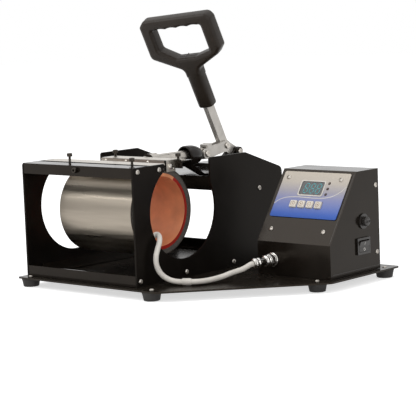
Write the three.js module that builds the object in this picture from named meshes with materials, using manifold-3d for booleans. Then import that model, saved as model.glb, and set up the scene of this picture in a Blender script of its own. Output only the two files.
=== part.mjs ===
// Mug heat press: a curved heater held between two side plates and squeezed round a mug by a toggle lever.
// Millimetres, +Z up. The front faces -Y and the mug's axis lies along X.
// Places are from the cradle's middle (X), the side plates' front edge (Y) and the base plate's top (Z).
import * as THREE from "three";
import { mergeVertices } from "three/addons/utils/BufferGeometryUtils.js";
import Module from "manifold-3d";

const wasm = await Module();
wasm.setup();

// Clearances: between pieces that rest on each other, and round pins and shafts
const seat = 0.3;
const running = 0.35;

// Side plates
const cradleWidth = 184;
const plateSheet = 2.5;
const plateLength = 272;
const frontHeight = 138;
const rearDrop = 24.5;
const peakSetback = 70;
const notchShare = 0.3088;
const notchFloor = 22.9;
const notchFrontAngle = 59.7;
const notchRearAngle = 28.7;
const plateCornerRadius = 6;
const plateChamfer = 2;

// Base plate, with a diagonal edge in front of the control box
const baseSheet = 2;
const baseFrontOverhang = 12;
const baseLeftOverhang = 5;
const baseRightOverhang = 10.5;
const baseFrontCorner = 38;
const baseDiagonalLead = 12;
const baseCornerRadius = 4;

// Rubber feet
const footHeight = 10;
const footTopRadius = 11.5;
const footBottomRadius = 9.6;
const footInset = 11;
const footEdge = 0.8;
const footRim = 1.2;

// Folded bars between the side plates
const barSheet = 2;
const frontBarHeight = 12.5;
const frontBarFlange = 24;
const bottomBarHeight = 13;
const bottomBarFlange = 16;
const barEarLength = 14;
const rearBarFlange = 15;
const railLeg = 12;
const railStart = 22;
const railSetback = 26;

// Folded deck that carries the toggle
const deckSheet = 2.5;
const deckGap = 15.5;
const deckLip = 17;
const deckDrop = 0.5;
const deckEarDepth = 29;
const deckEarSetback = 68;
const deckEarLength = 44;

// Heater: steel shell, sponge and silicone mat, open at the top
const heaterLength = 118.5;
const heaterMargin = 4.35;
const heaterForward = 3;
const heaterDrop = 3.05;
const shellWall = 1;
const spongeWall = 5.9;
const matWall = 4;
const shellTabHeight = 6.7;
const gapFrontAngle = 25.4;
const gapRearAngle = 9.6;
const terminalSize = 8;
const terminalForwardShare = 0.6485;
const terminalDropShare = 0.5338;

// Clamp strips and the sliding clamp bar
const stripSheet = 1.5;
const frontStripY = 33;
const frontStripEarDepth = 9;
const frontStripEarLead = 3.4;
const frontStripEarSetback = 3;
const rearStripFlange = 24;
const rearStripLeft = 45;
const rearStripRight = 62;
const endTabDepth = 14;
const endTabLength = 16;
const clampBarDepth = 19;
const clampBarGap = 16.5;
const clampBarHeight = 9;
const clampBarLeft = 61.5;
const clampBarRight = 72;
const clampBarSheet = 2;
const clampLugRadius = 9.5;
const slideArmWidth = 8;
const slideArmInset = 2;
const slideArmSheet = 2.5;
const slideArmRun = 34;
const slideArmStart = 24;

// Socket head screws
const screwRadius = 1.7;
const screwHeadRadius = 3.3;
const screwHeadHeight = 4;
const screwReach = 8;
const screwSocketRadius = 1.5;
const screwSocketDepth = 2;
const frontScrewY = 36;
const rearScrewSetback = 20;
const screwSides = 16;

// How far each screw's head stands above its strip, and where it stands along the strip
const frontScrewStands = [10, 7.7];
const rearScrewStands = [7.9, 6.9];
const frontScrewXs = [-46, 57.5];
const rearScrewXs = [-41, 63.3];

// Toggle: fixed pivot, knee and eye, as they stand with the lever raised
const pivotSetback = 16;
const pivotHeight = 15.5;
const crankLength = 22.1;
const crankRise = 25.4;
const linkLength = 39.6;
const eyeRise = 2.5;
const pinRadius = 3;
const pinHeadRadius = 4.2;
const pinHeadLength = 1.8;
const bracketFoot = 5;
const bracketFootLength = 46;
const bracketOverhang = 6;
const bracketFootWidth = 42;
const earSheet = 4;
const earRadius = 6.4;
const earFoot = 12;
const earBack = 2;
const earRise = 4;
const bushRadius = 6.2;
const bushLength = 3;
const linkSheet = 2.5;
const linkRadius = 6.8;
const linkWebSheet = 2.2;
const linkWebLift = 1.8;
const linkWebFrom = 0.05;
const linkWebTo = 0.28;

// Lever and grip
const leverLean = 26.5;
const leverThickness = 7;
const leverDepth = 13;
const leverReach = 61;
const leverInGrip = 42;
const leverKneeRadius = 7.2;
const leverPivotRadius = 6.2;
const gripTwist = 10.5;
const gripDepth = 18;
const gripEdge = 3;
const gripNeckWidth = 22;
const gripNeckDepth = 18.5;
const gripNeckCorner = 6;
const gripNeckLength = 56;
const gripHalfWidth = 52.8;
const gripHeight = 128.5;
const gripCorner = 10;
const gripShoulder = 79;
const gripShoulderCut = 6;
const gripFlare = 12;
const gripWindowLeft = -36.3;
const gripWindowRight = 36;
const gripWindowFloor = 72;
const gripFloorLeft = -15;
const gripFloorRight = 13.5;
const gripWindowCorner = 81.5;
const gripWindowTop = 113.8;
const gripGroove = 1.4;
const gripGrooveMargin = 3;
const gripGrooves = 4;
const pocketLead = 5;

// Push rod and pressure knob
const rodRadius = 7.4;
const rodEndRadius = 4.5;
const rodTailRadius = 4;
const tongueThickness = 6;
const tongueHalfHeight = 7;
const tongueFront = 7;
const tongueNeck = 1.2;
const tongueBack = 11.5;
const eyeSlotBack = 4;
const eyeSlotHalfHeight = 4.7;
const eyeSlotCorner = 2;
const knobRadius = 13;
const knobLength = 29;
const knobRearGap = 1.5;
const knobCavityRadius = 9.5;
const knobCavityDepth = 13;
const nutGap = 1;
const rearNutRadius = 9.4;
const rearNutLength = 14;
const frontNutRadius = 7;
const frontNutLength = 6;

// Control box
const boxGap = 58;
const boxWidth = 107.7;
const boxSetback = 25;
const boxDepth = 98;
const boxHeight = 120;
const boxFoldHeight = 39.5;
const boxSlopeRun = 55.6;
const boxSheet = 1.5;
const rearPanelSheet = 1.5;
const rearPanelInset = 1;

// Label, display, lamps and buttons on the sloping front, from its left edge and its fold
const labelSheet = 0.8;
const labelLeft = 5;
const labelWidth = 97.7;
const labelBottom = 33;
const labelHeight = 61;
const displayLeft = 36;
const displayWidth = 33.8;
const displayBottom = 63.3;
const displayHeight = 18.2;
const displaySheet = 1.5;
const displayFrame = 3;
const buttonCount = 4;
const buttonFirst = 34.4;
const buttonPitch = 12.2;
const buttonRow = 50.4;
const buttonWidth = 9.6;
const buttonHeight = 9.2;
const buttonProud = 2.2;
const buttonDepth = 9.5;
const buttonFlange = 1;
const buttonFlangeSheet = 1.5;
const ledCount = 3;
const ledColumn = 75.9;
const ledTop = 80;
const ledPitch = 7.35;
const ledRadius = 1.5;
const ledProud = 0.7;
const boardDepth = 13;
const boardSheet = 1.6;
const boardMargin = 8;
const boardPostRadius = 3;

// Right side of the control box: fuse holder and rocker switch
const fuseSetback = 33;
const fuseZ = 60.7;
const fuseBarrelRadius = 6.5;
const fuseFlangeRadius = 9;
const fuseFlangeSheet = 1.6;
const fuseBarrelLength = 24;
const fuseCapRadius = 5.6;
const fuseCapLength = 5.6;
const fuseCapBevel = 1;
const fuseSlotWidth = 1.6;
const fuseSlotDepth = 1.5;
const rockerSetback = 34.5;
const rockerZ = 31.7;
const rockerWidth = 25;
const rockerHeight = 19.5;
const rockerFlangeSheet = 2;
const rockerRim = 2.6;
const rockerBodyDepth = 18;
const rockerBodyInset = 1.9;
const rockerTilt = 9;
const rockerThickness = 8;
const paddleGap = 0.8;
const paddleSideGap = 0.4;
const paddleKeelHalf = 2.5;
const paddleKeel = 3.5;
const paddleEnd = 3.2;
const paddleMiddle = 2;

// Output socket, plug and heater lead
const socketInset = 23.4;
const socketZ = 18.2;
const socketFlangeRadius = 8.6;
const socketFlangeSheet = 2.2;
const socketBarrelRadius = 6;
const socketBarrelInside = 12;
const socketBarrelOutside = 8;
const plugNutRadius = 7.6;
const plugNutLength = 10;
const plugRadius = 6.2;
const plugLength = 25.5;
const plugCollarRadius = 6.8;
const plugCollarLength = 3;
const plugNeckRadius = 4.7;
const plugNeckLength = 9;
const plugRingLength = 4;
const plugGroove = 1;
const plugBevel = 1;
const plugTailWall = 1.5;
const plugNutChamfer = 1.5;
const plugGap = 0.3;
const leadRadius = 3.15;
const leadLift = 4.7;
const leadSteps = 60;
const leadSides = 10;
const sleeveRadius = 4.1;
const sleeveLength = 11;
const sleeveAt = 0.568;

// Transformer and mains inlet
const transformerLength = 44;
const transformerWidth = 36;
const transformerHeight = 34;
const transformerInset = 18;
const coilInset = 9;
const coilProud = 5;
const coilBottom = 8;
const coilDrop = 6;
const inletWidth = 27;
const inletHeight = 20;
const inletFlange = 4;
const inletFlangeSheet = 2;
const inletWall = 2;
const inletFloor = 3;
const inletDepth = 16;
const inletPinRadius = 1.2;
const inletPinSpacing = 7;
const inletPinRise = 3;
const inletInset = 80;
const inletZ = 28;

// Round pieces have this many sides
const roundSides = 24;
const notchSteps = 40;
const heaterSteps = 44;

// Colours and finishes
function paint(color, roughness, metalness) {
  return new THREE.MeshStandardMaterial({ color, roughness, metalness });
}

const blackPaint = paint(0x1d1a18, 0.55, 0.2);
const zinc = paint(0xb9b4aa, 0.35, 0.9);
const chrome = paint(0xd8d8d6, 0.12, 1);
const brushedSteel = paint(0x9a9184, 0.4, 0.9);
const blackPlastic = paint(0x17130f, 0.35, 0);
const blackRubber = paint(0x1a1817, 0.8, 0);
const blackSteel = paint(0x161412, 0.4, 0.6);
const spongeGrey = paint(0x4a4846, 0.9, 0);
const silicone = paint(0xb0603c, 0.6, 0);
const whiteSleeve = paint(0xd9d4cc, 0.6, 0);
const labelBlue = paint(0x6f86c0, 0.4, 0.1);
const windowGlass = paint(0x0d1f22, 0.1, 0);
const buttonGrey = paint(0xd5d2cb, 0.5, 0);
const ledGreen = paint(0x2b2622, 0.3, 0);
const boardGreen = paint(0x2f5a38, 0.6, 0);
const ironCore = paint(0x5b5550, 0.6, 0.5);

const press = new THREE.Group();

// Shape helpers

const radians = THREE.MathUtils.degToRad;

// The solid of a closed geometry, with its faces pointing out
function solid(geometry) {
  const bare = geometry.index ? geometry.toNonIndexed() : geometry.clone();
  bare.deleteAttribute("normal");
  bare.deleteAttribute("uv");
  const merged = mergeVertices(bare, 1e-4);
  const triVerts = new Uint32Array(merged.index.array);
  const vertProperties = new Float32Array(merged.attributes.position.array);
  if (signedVolume(vertProperties, triVerts) < 0) {
    triVerts.reverse();
  }
  return new wasm.Manifold(new wasm.Mesh({ numProp: 3, vertProperties, triVerts }));
}

function signedVolume(points, corners) {
  let total = 0;
  const [a, b, c] = [new THREE.Vector3(), new THREE.Vector3(), new THREE.Vector3()];
  for (let i = 0; i < corners.length; i += 3) {
    a.fromArray(points, 3 * corners[i]);
    b.fromArray(points, 3 * corners[i + 1]);
    c.fromArray(points, 3 * corners[i + 2]);
    total += a.dot(b.cross(c));
  }
  return total;
}

function geometryOf(body) {
  const mesh = body.getMesh();
  const geometry = new THREE.BufferGeometry();
  geometry.setAttribute("position", new THREE.BufferAttribute(mesh.vertProperties, 3));
  geometry.setIndex(new THREE.BufferAttribute(mesh.triVerts, 1));
  geometry.computeVertexNormals();
  return geometry;
}

function add(name, body, material, parent = press) {
  const mesh = new THREE.Mesh(geometryOf(body), material);
  mesh.name = name;
  parent.add(mesh);
  return mesh;
}

function block(x0, x1, y0, y1, z0, z1) {
  const geometry = new THREE.BoxGeometry(x1 - x0, y1 - y0, z1 - z0);
  geometry.translate((x0 + x1) / 2, (y0 + y1) / 2, (z0 + z1) / 2);
  return solid(geometry);
}

// An outline swept along an axis. Its own directions are Y and Z along X, X and Y along Z, Z and X along Y.
const sweepFrames = {
  X: [new THREE.Vector3(0, 1, 0), new THREE.Vector3(0, 0, 1), new THREE.Vector3(1, 0, 0)],
  Y: [new THREE.Vector3(0, 0, 1), new THREE.Vector3(1, 0, 0), new THREE.Vector3(0, 1, 0)],
  Z: [new THREE.Vector3(1, 0, 0), new THREE.Vector3(0, 1, 0), new THREE.Vector3(0, 0, 1)],
};

function swept(axis, outline, from, to, curveSegments = 12) {
  const depth = to - from;
  const geometry = new THREE.ExtrudeGeometry(outline, { depth, bevelEnabled: false, curveSegments });
  geometry.translate(0, 0, from);
  geometry.applyMatrix4(new THREE.Matrix4().makeBasis(...sweepFrames[axis]));
  return solid(geometry);
}

function polygon(points) {
  return new THREE.Shape(points.map(([a, b]) => new THREE.Vector2(a, b)));
}

// A round bar along an axis; at gives its centre in the outline's two directions
function bar(axis, radius, from, to, at = [0, 0], sides = roundSides) {
  const geometry = new THREE.CylinderGeometry(radius, radius, to - from, sides);
  geometry.rotateX(Math.PI / 2);
  geometry.translate(at[0], at[1], (from + to) / 2);
  geometry.applyMatrix4(new THREE.Matrix4().makeBasis(...sweepFrames[axis]));
  return solid(geometry);
}

// A turned piece: profile points are [radius, distance along the axis]
function turned(axis, profile, at = [0, 0], sides = roundSides) {
  const geometry = new THREE.LatheGeometry(profile.map(([r, d]) => new THREE.Vector2(r, d)), sides);
  geometry.rotateX(Math.PI / 2);
  geometry.translate(at[0], at[1], 0);
  geometry.applyMatrix4(new THREE.Matrix4().makeBasis(...sweepFrames[axis]));
  return solid(geometry);
}

function joined(...bodies) {
  return bodies.reduce((sum, body) => sum.add(body));
}

// Side plates and what closes the cradle

const plateOuter = cradleWidth / 2;
const plateInner = plateOuter - plateSheet;
const insideHalf = plateInner - seat;
const rearHeight = frontHeight - rearDrop;
const peakY = plateLength - peakSetback;
const notchRadius = (frontHeight - notchFloor) / 2;
const notchY = plateLength * notchShare;
const notchZ = notchFloor + notchRadius;
const notchFrontY = notchY - notchRadius * Math.cos(radians(notchFrontAngle));
const notchRearY = notchY + notchRadius * Math.cos(radians(notchRearAngle));

function sidePlateOutline() {
  const outline = new THREE.Shape();
  const frontAngle = radians(notchFrontAngle);
  const rearAngle = radians(notchRearAngle);
  outline.moveTo(0, 0);
  outline.lineTo(plateLength, 0);
  outline.lineTo(plateLength, rearHeight - plateCornerRadius);
  const cornerY = plateLength - plateCornerRadius;
  outline.quadraticCurveTo(plateLength, rearHeight, cornerY, rearHeight + plateChamfer);
  outline.lineTo(peakY, frontHeight);
  outline.lineTo(notchRearY + plateChamfer, frontHeight);
  outline.lineTo(notchRearY, frontHeight - plateChamfer);
  outline.lineTo(notchRearY, notchZ + notchRadius * Math.sin(rearAngle));
  outline.absarc(notchY, notchZ, notchRadius, rearAngle, -Math.PI - frontAngle, true);
  outline.lineTo(notchFrontY, frontHeight - plateChamfer);
  outline.lineTo(notchFrontY - plateChamfer, frontHeight);
  outline.lineTo(plateChamfer, frontHeight);
  outline.lineTo(0, frontHeight - plateChamfer);
  outline.closePath();
  return outline;
}

const plateOutline = sidePlateOutline();
add("side_plate_right", swept("X", plateOutline, plateInner, plateOuter, notchSteps), blackPaint);
add("side_plate_left", swept("X", plateOutline, -plateOuter, -plateInner, notchSteps), blackPaint);

// A folded bar: a face and a flange, with an ear turned back at each end for the screws
function foldedBar(outline, ear) {
  const long = swept("X", outline, -insideHalf, insideHalf);
  const rightEar = swept("X", ear, insideHalf - barSheet, insideHalf);
  const leftEar = swept("X", ear, -insideHalf, -insideHalf + barSheet);
  return joined(long, rightEar, leftEar);
}

// An L outline in Y and Z: the upright leg stands at y from z0 to z1, and the flange runs back at one end
function angleOutline(y, z0, z1, flange, flangeAtTop, sheet) {
  const [inside, end] = [y + sheet, y + flange];
  const top = [[y, z0], [inside, z0], [inside, z1 - sheet], [end, z1 - sheet], [end, z1], [y, z1]];
  const bottom = [[y, z0], [end, z0], [end, z0 + sheet], [inside, z0 + sheet], [inside, z1], [y, z1]];
  return polygon(flangeAtTop ? top : bottom);
}

function rectangle(a0, a1, b0, b1) {
  return polygon([[a0, b0], [a1, b0], [a1, b1], [a0, b1]]);
}

const frontBarBottom = frontHeight - frontBarHeight;
const frontBarScrewZ = frontHeight - frontBarHeight / 2 + 1;
const frontBarOutline = angleOutline(seat, frontBarBottom, frontHeight, frontBarFlange, true, barSheet);
const frontBarEar = rectangle(seat, barEarLength, frontBarBottom, frontHeight);
const frontScrewHole = bar("Y", screwRadius + running, -1, barSheet + 2, [frontBarScrewZ, 0]);
add("front_top_bar", foldedBar(frontBarOutline, frontBarEar).subtract(frontScrewHole), blackPaint);

const bottomBarOutline = angleOutline(seat, seat, bottomBarHeight, bottomBarFlange, false, barSheet);
const bottomBarEar = rectangle(seat, barEarLength, seat, bottomBarHeight);
add("front_bottom_bar", foldedBar(bottomBarOutline, bottomBarEar), blackPaint);

const rearBarY = plateLength - barSheet;
const rearBarOutline = polygon([
  [rearBarY - rearBarFlange, seat],
  [plateLength, seat],
  [plateLength, bottomBarHeight],
  [rearBarY, bottomBarHeight],
  [rearBarY, seat + barSheet],
  [rearBarY - rearBarFlange, seat + barSheet],
]);
add("rear_bottom_bar", swept("X", rearBarOutline, -insideHalf, insideHalf), blackPaint);

// Angle rails that fasten the side plates to the base plate
for (const [name, side] of [["rail_right", 1], ["rail_left", -1]]) {
  const points = [
    [insideHalf, seat],
    [insideHalf, railLeg],
    [insideHalf - barSheet, railLeg],
    [insideHalf - barSheet, seat + barSheet],
    [insideHalf - railLeg, seat + barSheet],
    [insideHalf - railLeg, seat],
  ];
  const outline = polygon(points.map(([x, z]) => [z, side * x]));
  add(name, swept("Y", outline, railStart, plateLength - railSetback), blackPaint);
}

// Base plate and feet

const boxLeft = plateOuter + boxGap;
const boxRight = boxLeft + boxWidth;
const boxRearY = plateLength - boxSetback;
const boxFrontY = boxRearY - boxDepth;
const boxSlopeRear = boxFrontY + boxSlopeRun;
const baseLeft = -plateOuter - baseLeftOverhang;
const baseRight = boxRight + baseRightOverhang;
const baseFront = -baseFrontOverhang;
const baseRear = plateLength;
const baseCornerX = plateOuter + baseFrontCorner;
const baseTurnY = boxFrontY - baseDiagonalLead;

// Corner points of the base outline, each rounded by the same radius
function roundedOutline(points, radius) {
  const outline = new THREE.Shape();
  points.forEach((point, i) => {
    const corner = new THREE.Vector2(...point);
    const next = points[(i + 1) % points.length];
    const before = new THREE.Vector2(...points.at(i - 1)).sub(corner).setLength(radius).add(corner);
    const after = new THREE.Vector2(...next).sub(corner).setLength(radius).add(corner);
    if (i === 0) {
      outline.moveTo(before.x, before.y);
    } else {
      outline.lineTo(before.x, before.y);
    }
    outline.quadraticCurveTo(corner.x, corner.y, after.x, after.y);
  });
  outline.closePath();
  return outline;
}

const baseOutline = roundedOutline([
  [baseLeft, baseFront],
  [baseCornerX, baseFront],
  [baseRight, baseTurnY],
  [baseRight, baseRear],
  [baseLeft, baseRear],
], baseCornerRadius);
add("base_plate", swept("Z", baseOutline, -baseSheet, 0, 5), blackPaint);

const feet = {
  foot_front_left: [baseLeft + footInset, baseFront + footInset + 1],
  foot_front_middle: [baseCornerX - footInset - 4, baseFront + footInset],
  foot_front_right: [baseRight - footInset * 2, baseTurnY + 1],
  foot_rear_right: [baseRight - footInset, baseRear - footInset - 5],
  foot_rear_left: [baseLeft + footInset, baseRear - footInset - 1],
};
const footTop = -baseSheet;
for (const [name, [x, y]] of Object.entries(feet)) {
  const profile = [
    [0, footTop - footHeight],
    [footBottomRadius - footEdge, footTop - footHeight],
    [footBottomRadius, footTop - footHeight + footEdge],
    [footTopRadius, footTop - footRim],
    [footTopRadius, footTop],
    [0, footTop],
  ];
  add(name, turned("Z", profile, [x, y]), blackRubber);
}

// Toggle deck: a tray turned upside down between the side plates

const deckTop = rearHeight - deckDrop;
const deckFrontY = notchRearY + deckGap;
const deckRearY = plateLength;
const deckEarFront = plateLength - deckEarSetback;
const deckShell = block(-insideHalf, insideHalf, deckFrontY, deckRearY, deckTop - deckLip, deckTop);
const deckHollow = block(
  -insideHalf + deckSheet,
  insideHalf - deckSheet,
  deckFrontY + deckSheet,
  deckRearY - deckSheet,
  deckTop - deckLip - 1,
  deckTop - deckSheet,
);
let deck = deckShell.subtract(deckHollow);
for (const side of [1, -1]) {
  const [x0, x1] = [side * insideHalf, side * (insideHalf - deckSheet)].sort((a, b) => a - b);
  const [y0, y1] = [deckEarFront, deckEarFront + deckEarLength];
  deck = deck.add(block(x0, x1, y0, y1, deckTop - deckEarDepth, deckTop - 1));
}
add("toggle_deck", deck, blackPaint);

// Heater: three open rings about one centre, with the gap at the top

const heaterRadius = notchRadius - heaterMargin;
const heaterY = notchY - heaterForward;
const heaterZ = notchZ - heaterDrop;
const heaterHalf = heaterLength / 2;

// Angles run from straight up towards the rear, round the bottom and up the front
function ringPoint(radius, degrees) {
  const angle = radians(degrees);
  return [heaterY + radius * Math.sin(angle), heaterZ + radius * Math.cos(angle)];
}

function ringArc(radius, reversed) {
  const sweep = 360 - gapFrontAngle - gapRearAngle;
  const points = [];
  for (let i = 0; i <= heaterSteps; i += 1) {
    points.push(ringPoint(radius, gapRearAngle + (sweep * i) / heaterSteps));
  }
  return reversed ? points.reverse() : points;
}

function openRing(outer, inner) {
  return polygon([...ringArc(outer, false), ...ringArc(inner, true)]);
}

const [rearTabY] = ringPoint(heaterRadius, gapRearAngle);
const [frontTabY] = ringPoint(heaterRadius, -gapFrontAngle);
const clampTop = frontHeight;
const tabTop = clampTop - seat;
const shellInner = heaterRadius - shellWall;
const shellInside = ringArc(shellInner, true);
const shellOutline = polygon([
  ...ringArc(heaterRadius, false),
  [frontTabY, tabTop],
  [frontTabY + shellWall, tabTop],
  [frontTabY + shellWall, shellInside[0][1]],
  ...shellInside.slice(1),
]);

// The rear tab starts where the strip that clamps it does
const rearTabTop = heaterZ + heaterRadius + shellTabHeight;
const rearTabOutline = polygon([
  [rearTabY - shellWall, heaterZ + Math.sqrt(shellInner ** 2 - (rearTabY - shellWall - heaterY) ** 2)],
  ringPoint(shellInner, gapRearAngle),
  ringPoint(heaterRadius, gapRearAngle),
  [rearTabY, rearTabTop],
  [rearTabY - shellWall, rearTabTop],
]);
const shell = joined(
  swept("X", shellOutline, -heaterHalf, heaterHalf),
  swept("X", rearTabOutline, -rearStripLeft, heaterHalf),
);
add("heater_shell", shell, brushedSteel);

const spongeOuter = shellInner - seat;
const spongeInner = spongeOuter - spongeWall;
add("heater_sponge", swept("X", openRing(spongeOuter, spongeInner), -heaterHalf, heaterHalf), spongeGrey);

const matOuter = spongeInner - seat;
const matInner = matOuter - matWall;
add("heater_mat", swept("X", openRing(matOuter, matInner), -heaterHalf, heaterHalf), silicone);

// Clamp strip at the front of the gap, with an ear turned down at each side plate

const stripLipFront = frontTabY - seat - stripSheet;
const stripLipBottom = heaterZ + Math.sqrt(heaterRadius ** 2 - (stripLipFront - heaterY) ** 2) + 1;
const frontStripOutline = polygon([
  [frontStripY, clampTop - stripSheet],
  [stripLipFront, clampTop - stripSheet],
  [stripLipFront, clampTop - 3 * stripSheet],
  [stripLipFront + stripSheet, clampTop - 3 * stripSheet],
  [stripLipFront + stripSheet, clampTop],
  [frontStripY, clampTop],
]);
const frontStripEar = rectangle(
  frontStripY + frontStripEarLead,
  stripLipFront - frontStripEarSetback,
  clampTop - frontStripEarDepth,
  clampTop - stripSheet / 2,
);
const lipReach = heaterHalf - 1;
const frontStripLip = block(
  -lipReach,
  lipReach,
  stripLipFront,
  stripLipFront + stripSheet,
  stripLipBottom + seat,
  clampTop - stripSheet,
);
let frontStrip = joined(
  swept("X", frontStripOutline, -insideHalf, insideHalf),
  swept("X", frontStripEar, insideHalf - barSheet, insideHalf),
  swept("X", frontStripEar, -insideHalf, -insideHalf + barSheet),
  frontStripLip,
);
for (const x of frontScrewXs) {
  frontStrip = frontStrip.subtract(
    bar("Z", screwRadius + running, clampTop - screwReach, clampTop + 1, [x, frontScrewY]),
  );
}
add("front_clamp_strip", frontStrip, zinc);

// Clamp strip behind the gap: a lip, a flange over the clamp bar and a tab bent down past the heater's end

const rearTop = rearTabTop + seat;
const rearLipFront = rearTabY + seat;
const rearLipBottom = heaterZ + heaterRadius + 0.8;
const rearFlangeEnd = rearLipFront + rearStripFlange;
const rearStripOutline = polygon([
  [rearLipFront, rearLipBottom],
  [rearLipFront + stripSheet, rearLipBottom],
  [rearLipFront + stripSheet, rearTop - stripSheet],
  [rearFlangeEnd, rearTop - stripSheet],
  [rearFlangeEnd, rearTop],
  [rearLipFront, rearTop],
]);
const endTab = block(
  rearStripRight - stripSheet,
  rearStripRight,
  rearLipFront,
  rearLipFront + endTabLength,
  rearTop - endTabDepth,
  rearTop - stripSheet / 2,
);
const rearScrewY = rearLipFront + rearScrewSetback;
const rearScrewHoles = rearScrewXs.map((x) => (
  bar("Z", screwRadius + running, rearTop - screwReach - 4, rearTop + 1, [x, rearScrewY])
));
const rearStripBody = swept("X", rearStripOutline, -rearStripLeft, rearStripRight).add(endTab);
const rearStripPad = block(
  rearStripRight - stripSheet,
  clampBarRight,
  rearScrewY - screwHeadRadius - 1,
  rearFlangeEnd,
  rearTop - stripSheet,
  rearTop,
);
add("rear_clamp_strip", joined(rearStripBody, rearStripPad).subtract(joined(...rearScrewHoles)), zinc);

// Toggle pivots in Y and Z

const pivot = [plateLength + pivotSetback, deckTop + pivotHeight];
const crankAngle = radians(crankRise);
const knee = [pivot[0] - crankLength * Math.cos(crankAngle), pivot[1] + crankLength * Math.sin(crankAngle)];
const eyeZ = pivot[1] + eyeRise;
const eye = [knee[0] - Math.sqrt(linkLength ** 2 - (knee[1] - eyeZ) ** 2), eyeZ];

// The push rod's own frame: its origin is the eye, and the rod runs forward from it
const rodFrame = new THREE.Group();
rodFrame.position.set(0, eye[0], eye[1]);
rodFrame.updateMatrix();
press.add(rodFrame);

// Sliding clamp bar: a channel open below, a lug for the rod and two arms that slide on the deck

const clampBarFront = rearTabY + clampBarGap;
const clampBarRear = clampBarFront + clampBarDepth;
const clampBarTop = rearTop - stripSheet - seat;
const clampBarBottom = clampBarTop - clampBarHeight;
const channelOutline = polygon([
  [clampBarFront, clampBarBottom],
  [clampBarFront + clampBarSheet, clampBarBottom],
  [clampBarFront + clampBarSheet, clampBarTop - clampBarSheet],
  [clampBarRear - clampBarSheet, clampBarTop - clampBarSheet],
  [clampBarRear - clampBarSheet, clampBarBottom],
  [clampBarRear, clampBarBottom],
  [clampBarRear, clampBarTop],
  [clampBarFront, clampBarTop],
]);
const armFoot = deckTop + seat;
const armRearY = deckFrontY + slideArmRun;
const armTurnY = clampBarRear + slideArmStart;
const armOutline = polygon([
  [clampBarRear - slideArmSheet, clampBarBottom + slideArmSheet],
  [clampBarRear - slideArmSheet, clampBarBottom],
  [armTurnY, armFoot],
  [armRearY, armFoot],
  [armRearY, armFoot + slideArmSheet],
  [armTurnY + 1, armFoot + slideArmSheet],
  [clampBarRear, clampBarBottom + slideArmSheet + 2],
]);
const armRight = clampBarRight - slideArmInset;
const armLeft = -clampBarLeft + slideArmInset;
const rodHole = bar("Y", rodEndRadius + running, clampBarFront, clampBarRear + 1, [eye[1], 0]);
const nutWindow = block(
  -frontNutRadius - 1,
  frontNutRadius + 1,
  clampBarRear - clampBarSheet - frontNutLength - 4,
  clampBarRear - clampBarSheet,
  clampBarTop - clampBarHeight + 1,
  clampBarTop + 1,
);
const clampBar = joined(
  swept("X", channelOutline, -clampBarLeft, clampBarRight),
  bar("Y", clampLugRadius, clampBarRear - clampBarSheet, clampBarRear, [eye[1], 0]),
  swept("X", armOutline, armRight - slideArmWidth, armRight),
  swept("X", armOutline, armLeft, armLeft + slideArmWidth),
).subtract(joined(rodHole, nutWindow, ...rearScrewHoles));
add("rear_clamp_bar", clampBar, blackPaint);

// Socket head screws that stand in the strips, and one through the front bar

function capScrewProfile(top, reach) {
  const neck = top - screwHeadHeight;
  return [
    [0, reach],
    [screwRadius, reach],
    [screwRadius, neck],
    [screwHeadRadius, neck],
    [screwHeadRadius, top],
    [screwSocketRadius, top],
    [screwSocketRadius, top - screwSocketDepth],
    [0, top - screwSocketDepth],
  ];
}

["clamp_screw_front_left", "clamp_screw_front_right"].forEach((name, i) => {
  const profile = capScrewProfile(clampTop + frontScrewStands[i], clampTop - screwReach);
  add(name, turned("Z", profile, [frontScrewXs[i], frontScrewY], screwSides), blackSteel);
});
["clamp_screw_rear_left", "clamp_screw_rear_right"].forEach((name, i) => {
  const profile = capScrewProfile(rearTop + rearScrewStands[i], clampBarTop - screwReach);
  add(name, turned("Z", profile, [rearScrewXs[i], rearScrewY], screwSides), blackSteel);
});
const barScrewProfile = capScrewProfile(screwHeadHeight, -screwReach * 2).map(([r, d]) => [r, -d]);
add("front_bar_screw", turned("Y", barScrewProfile, [frontBarScrewZ, 0], screwSides), blackSteel);

// Push rod with its tail and slotted tongue, in the rod's frame

const barFace = clampBarRear - eye[0];
const frontNutEnd = barFace - clampBarSheet - nutGap;
const rodFrontEnd = frontNutEnd - frontNutLength - 2;
const rodShoulder = barFace + nutGap + rearNutLength + seat;
const knobRear = -tongueFront - knobRearGap;
const knobFront = knobRear - knobLength;
const tongueOutline = new THREE.Shape();
tongueOutline.moveTo(-tongueFront - tongueNeck, -rodTailRadius);
tongueOutline.lineTo(-tongueFront + 2, -tongueHalfHeight);
tongueOutline.lineTo(tongueBack - 3, -tongueHalfHeight);
tongueOutline.quadraticCurveTo(tongueBack, -tongueHalfHeight, tongueBack, 0);
tongueOutline.quadraticCurveTo(tongueBack, tongueHalfHeight, tongueBack - 3, tongueHalfHeight);
tongueOutline.lineTo(-tongueFront + 2, tongueHalfHeight);
tongueOutline.lineTo(-tongueFront - tongueNeck, rodTailRadius);
tongueOutline.closePath();
const slotFront = -pinRadius - running;
const slotBack = pinRadius + running + eyeSlotBack;
const eyeSlot = polygon([
  [slotFront, -eyeSlotHalfHeight + eyeSlotCorner],
  [slotFront + eyeSlotCorner, -eyeSlotHalfHeight],
  [slotBack - eyeSlotCorner, -eyeSlotHalfHeight],
  [slotBack, -eyeSlotHalfHeight + eyeSlotCorner],
  [slotBack, eyeSlotHalfHeight - eyeSlotCorner],
  [slotBack - eyeSlotCorner, eyeSlotHalfHeight],
  [slotFront + eyeSlotCorner, eyeSlotHalfHeight],
  [slotFront, eyeSlotHalfHeight - eyeSlotCorner],
]);
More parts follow.
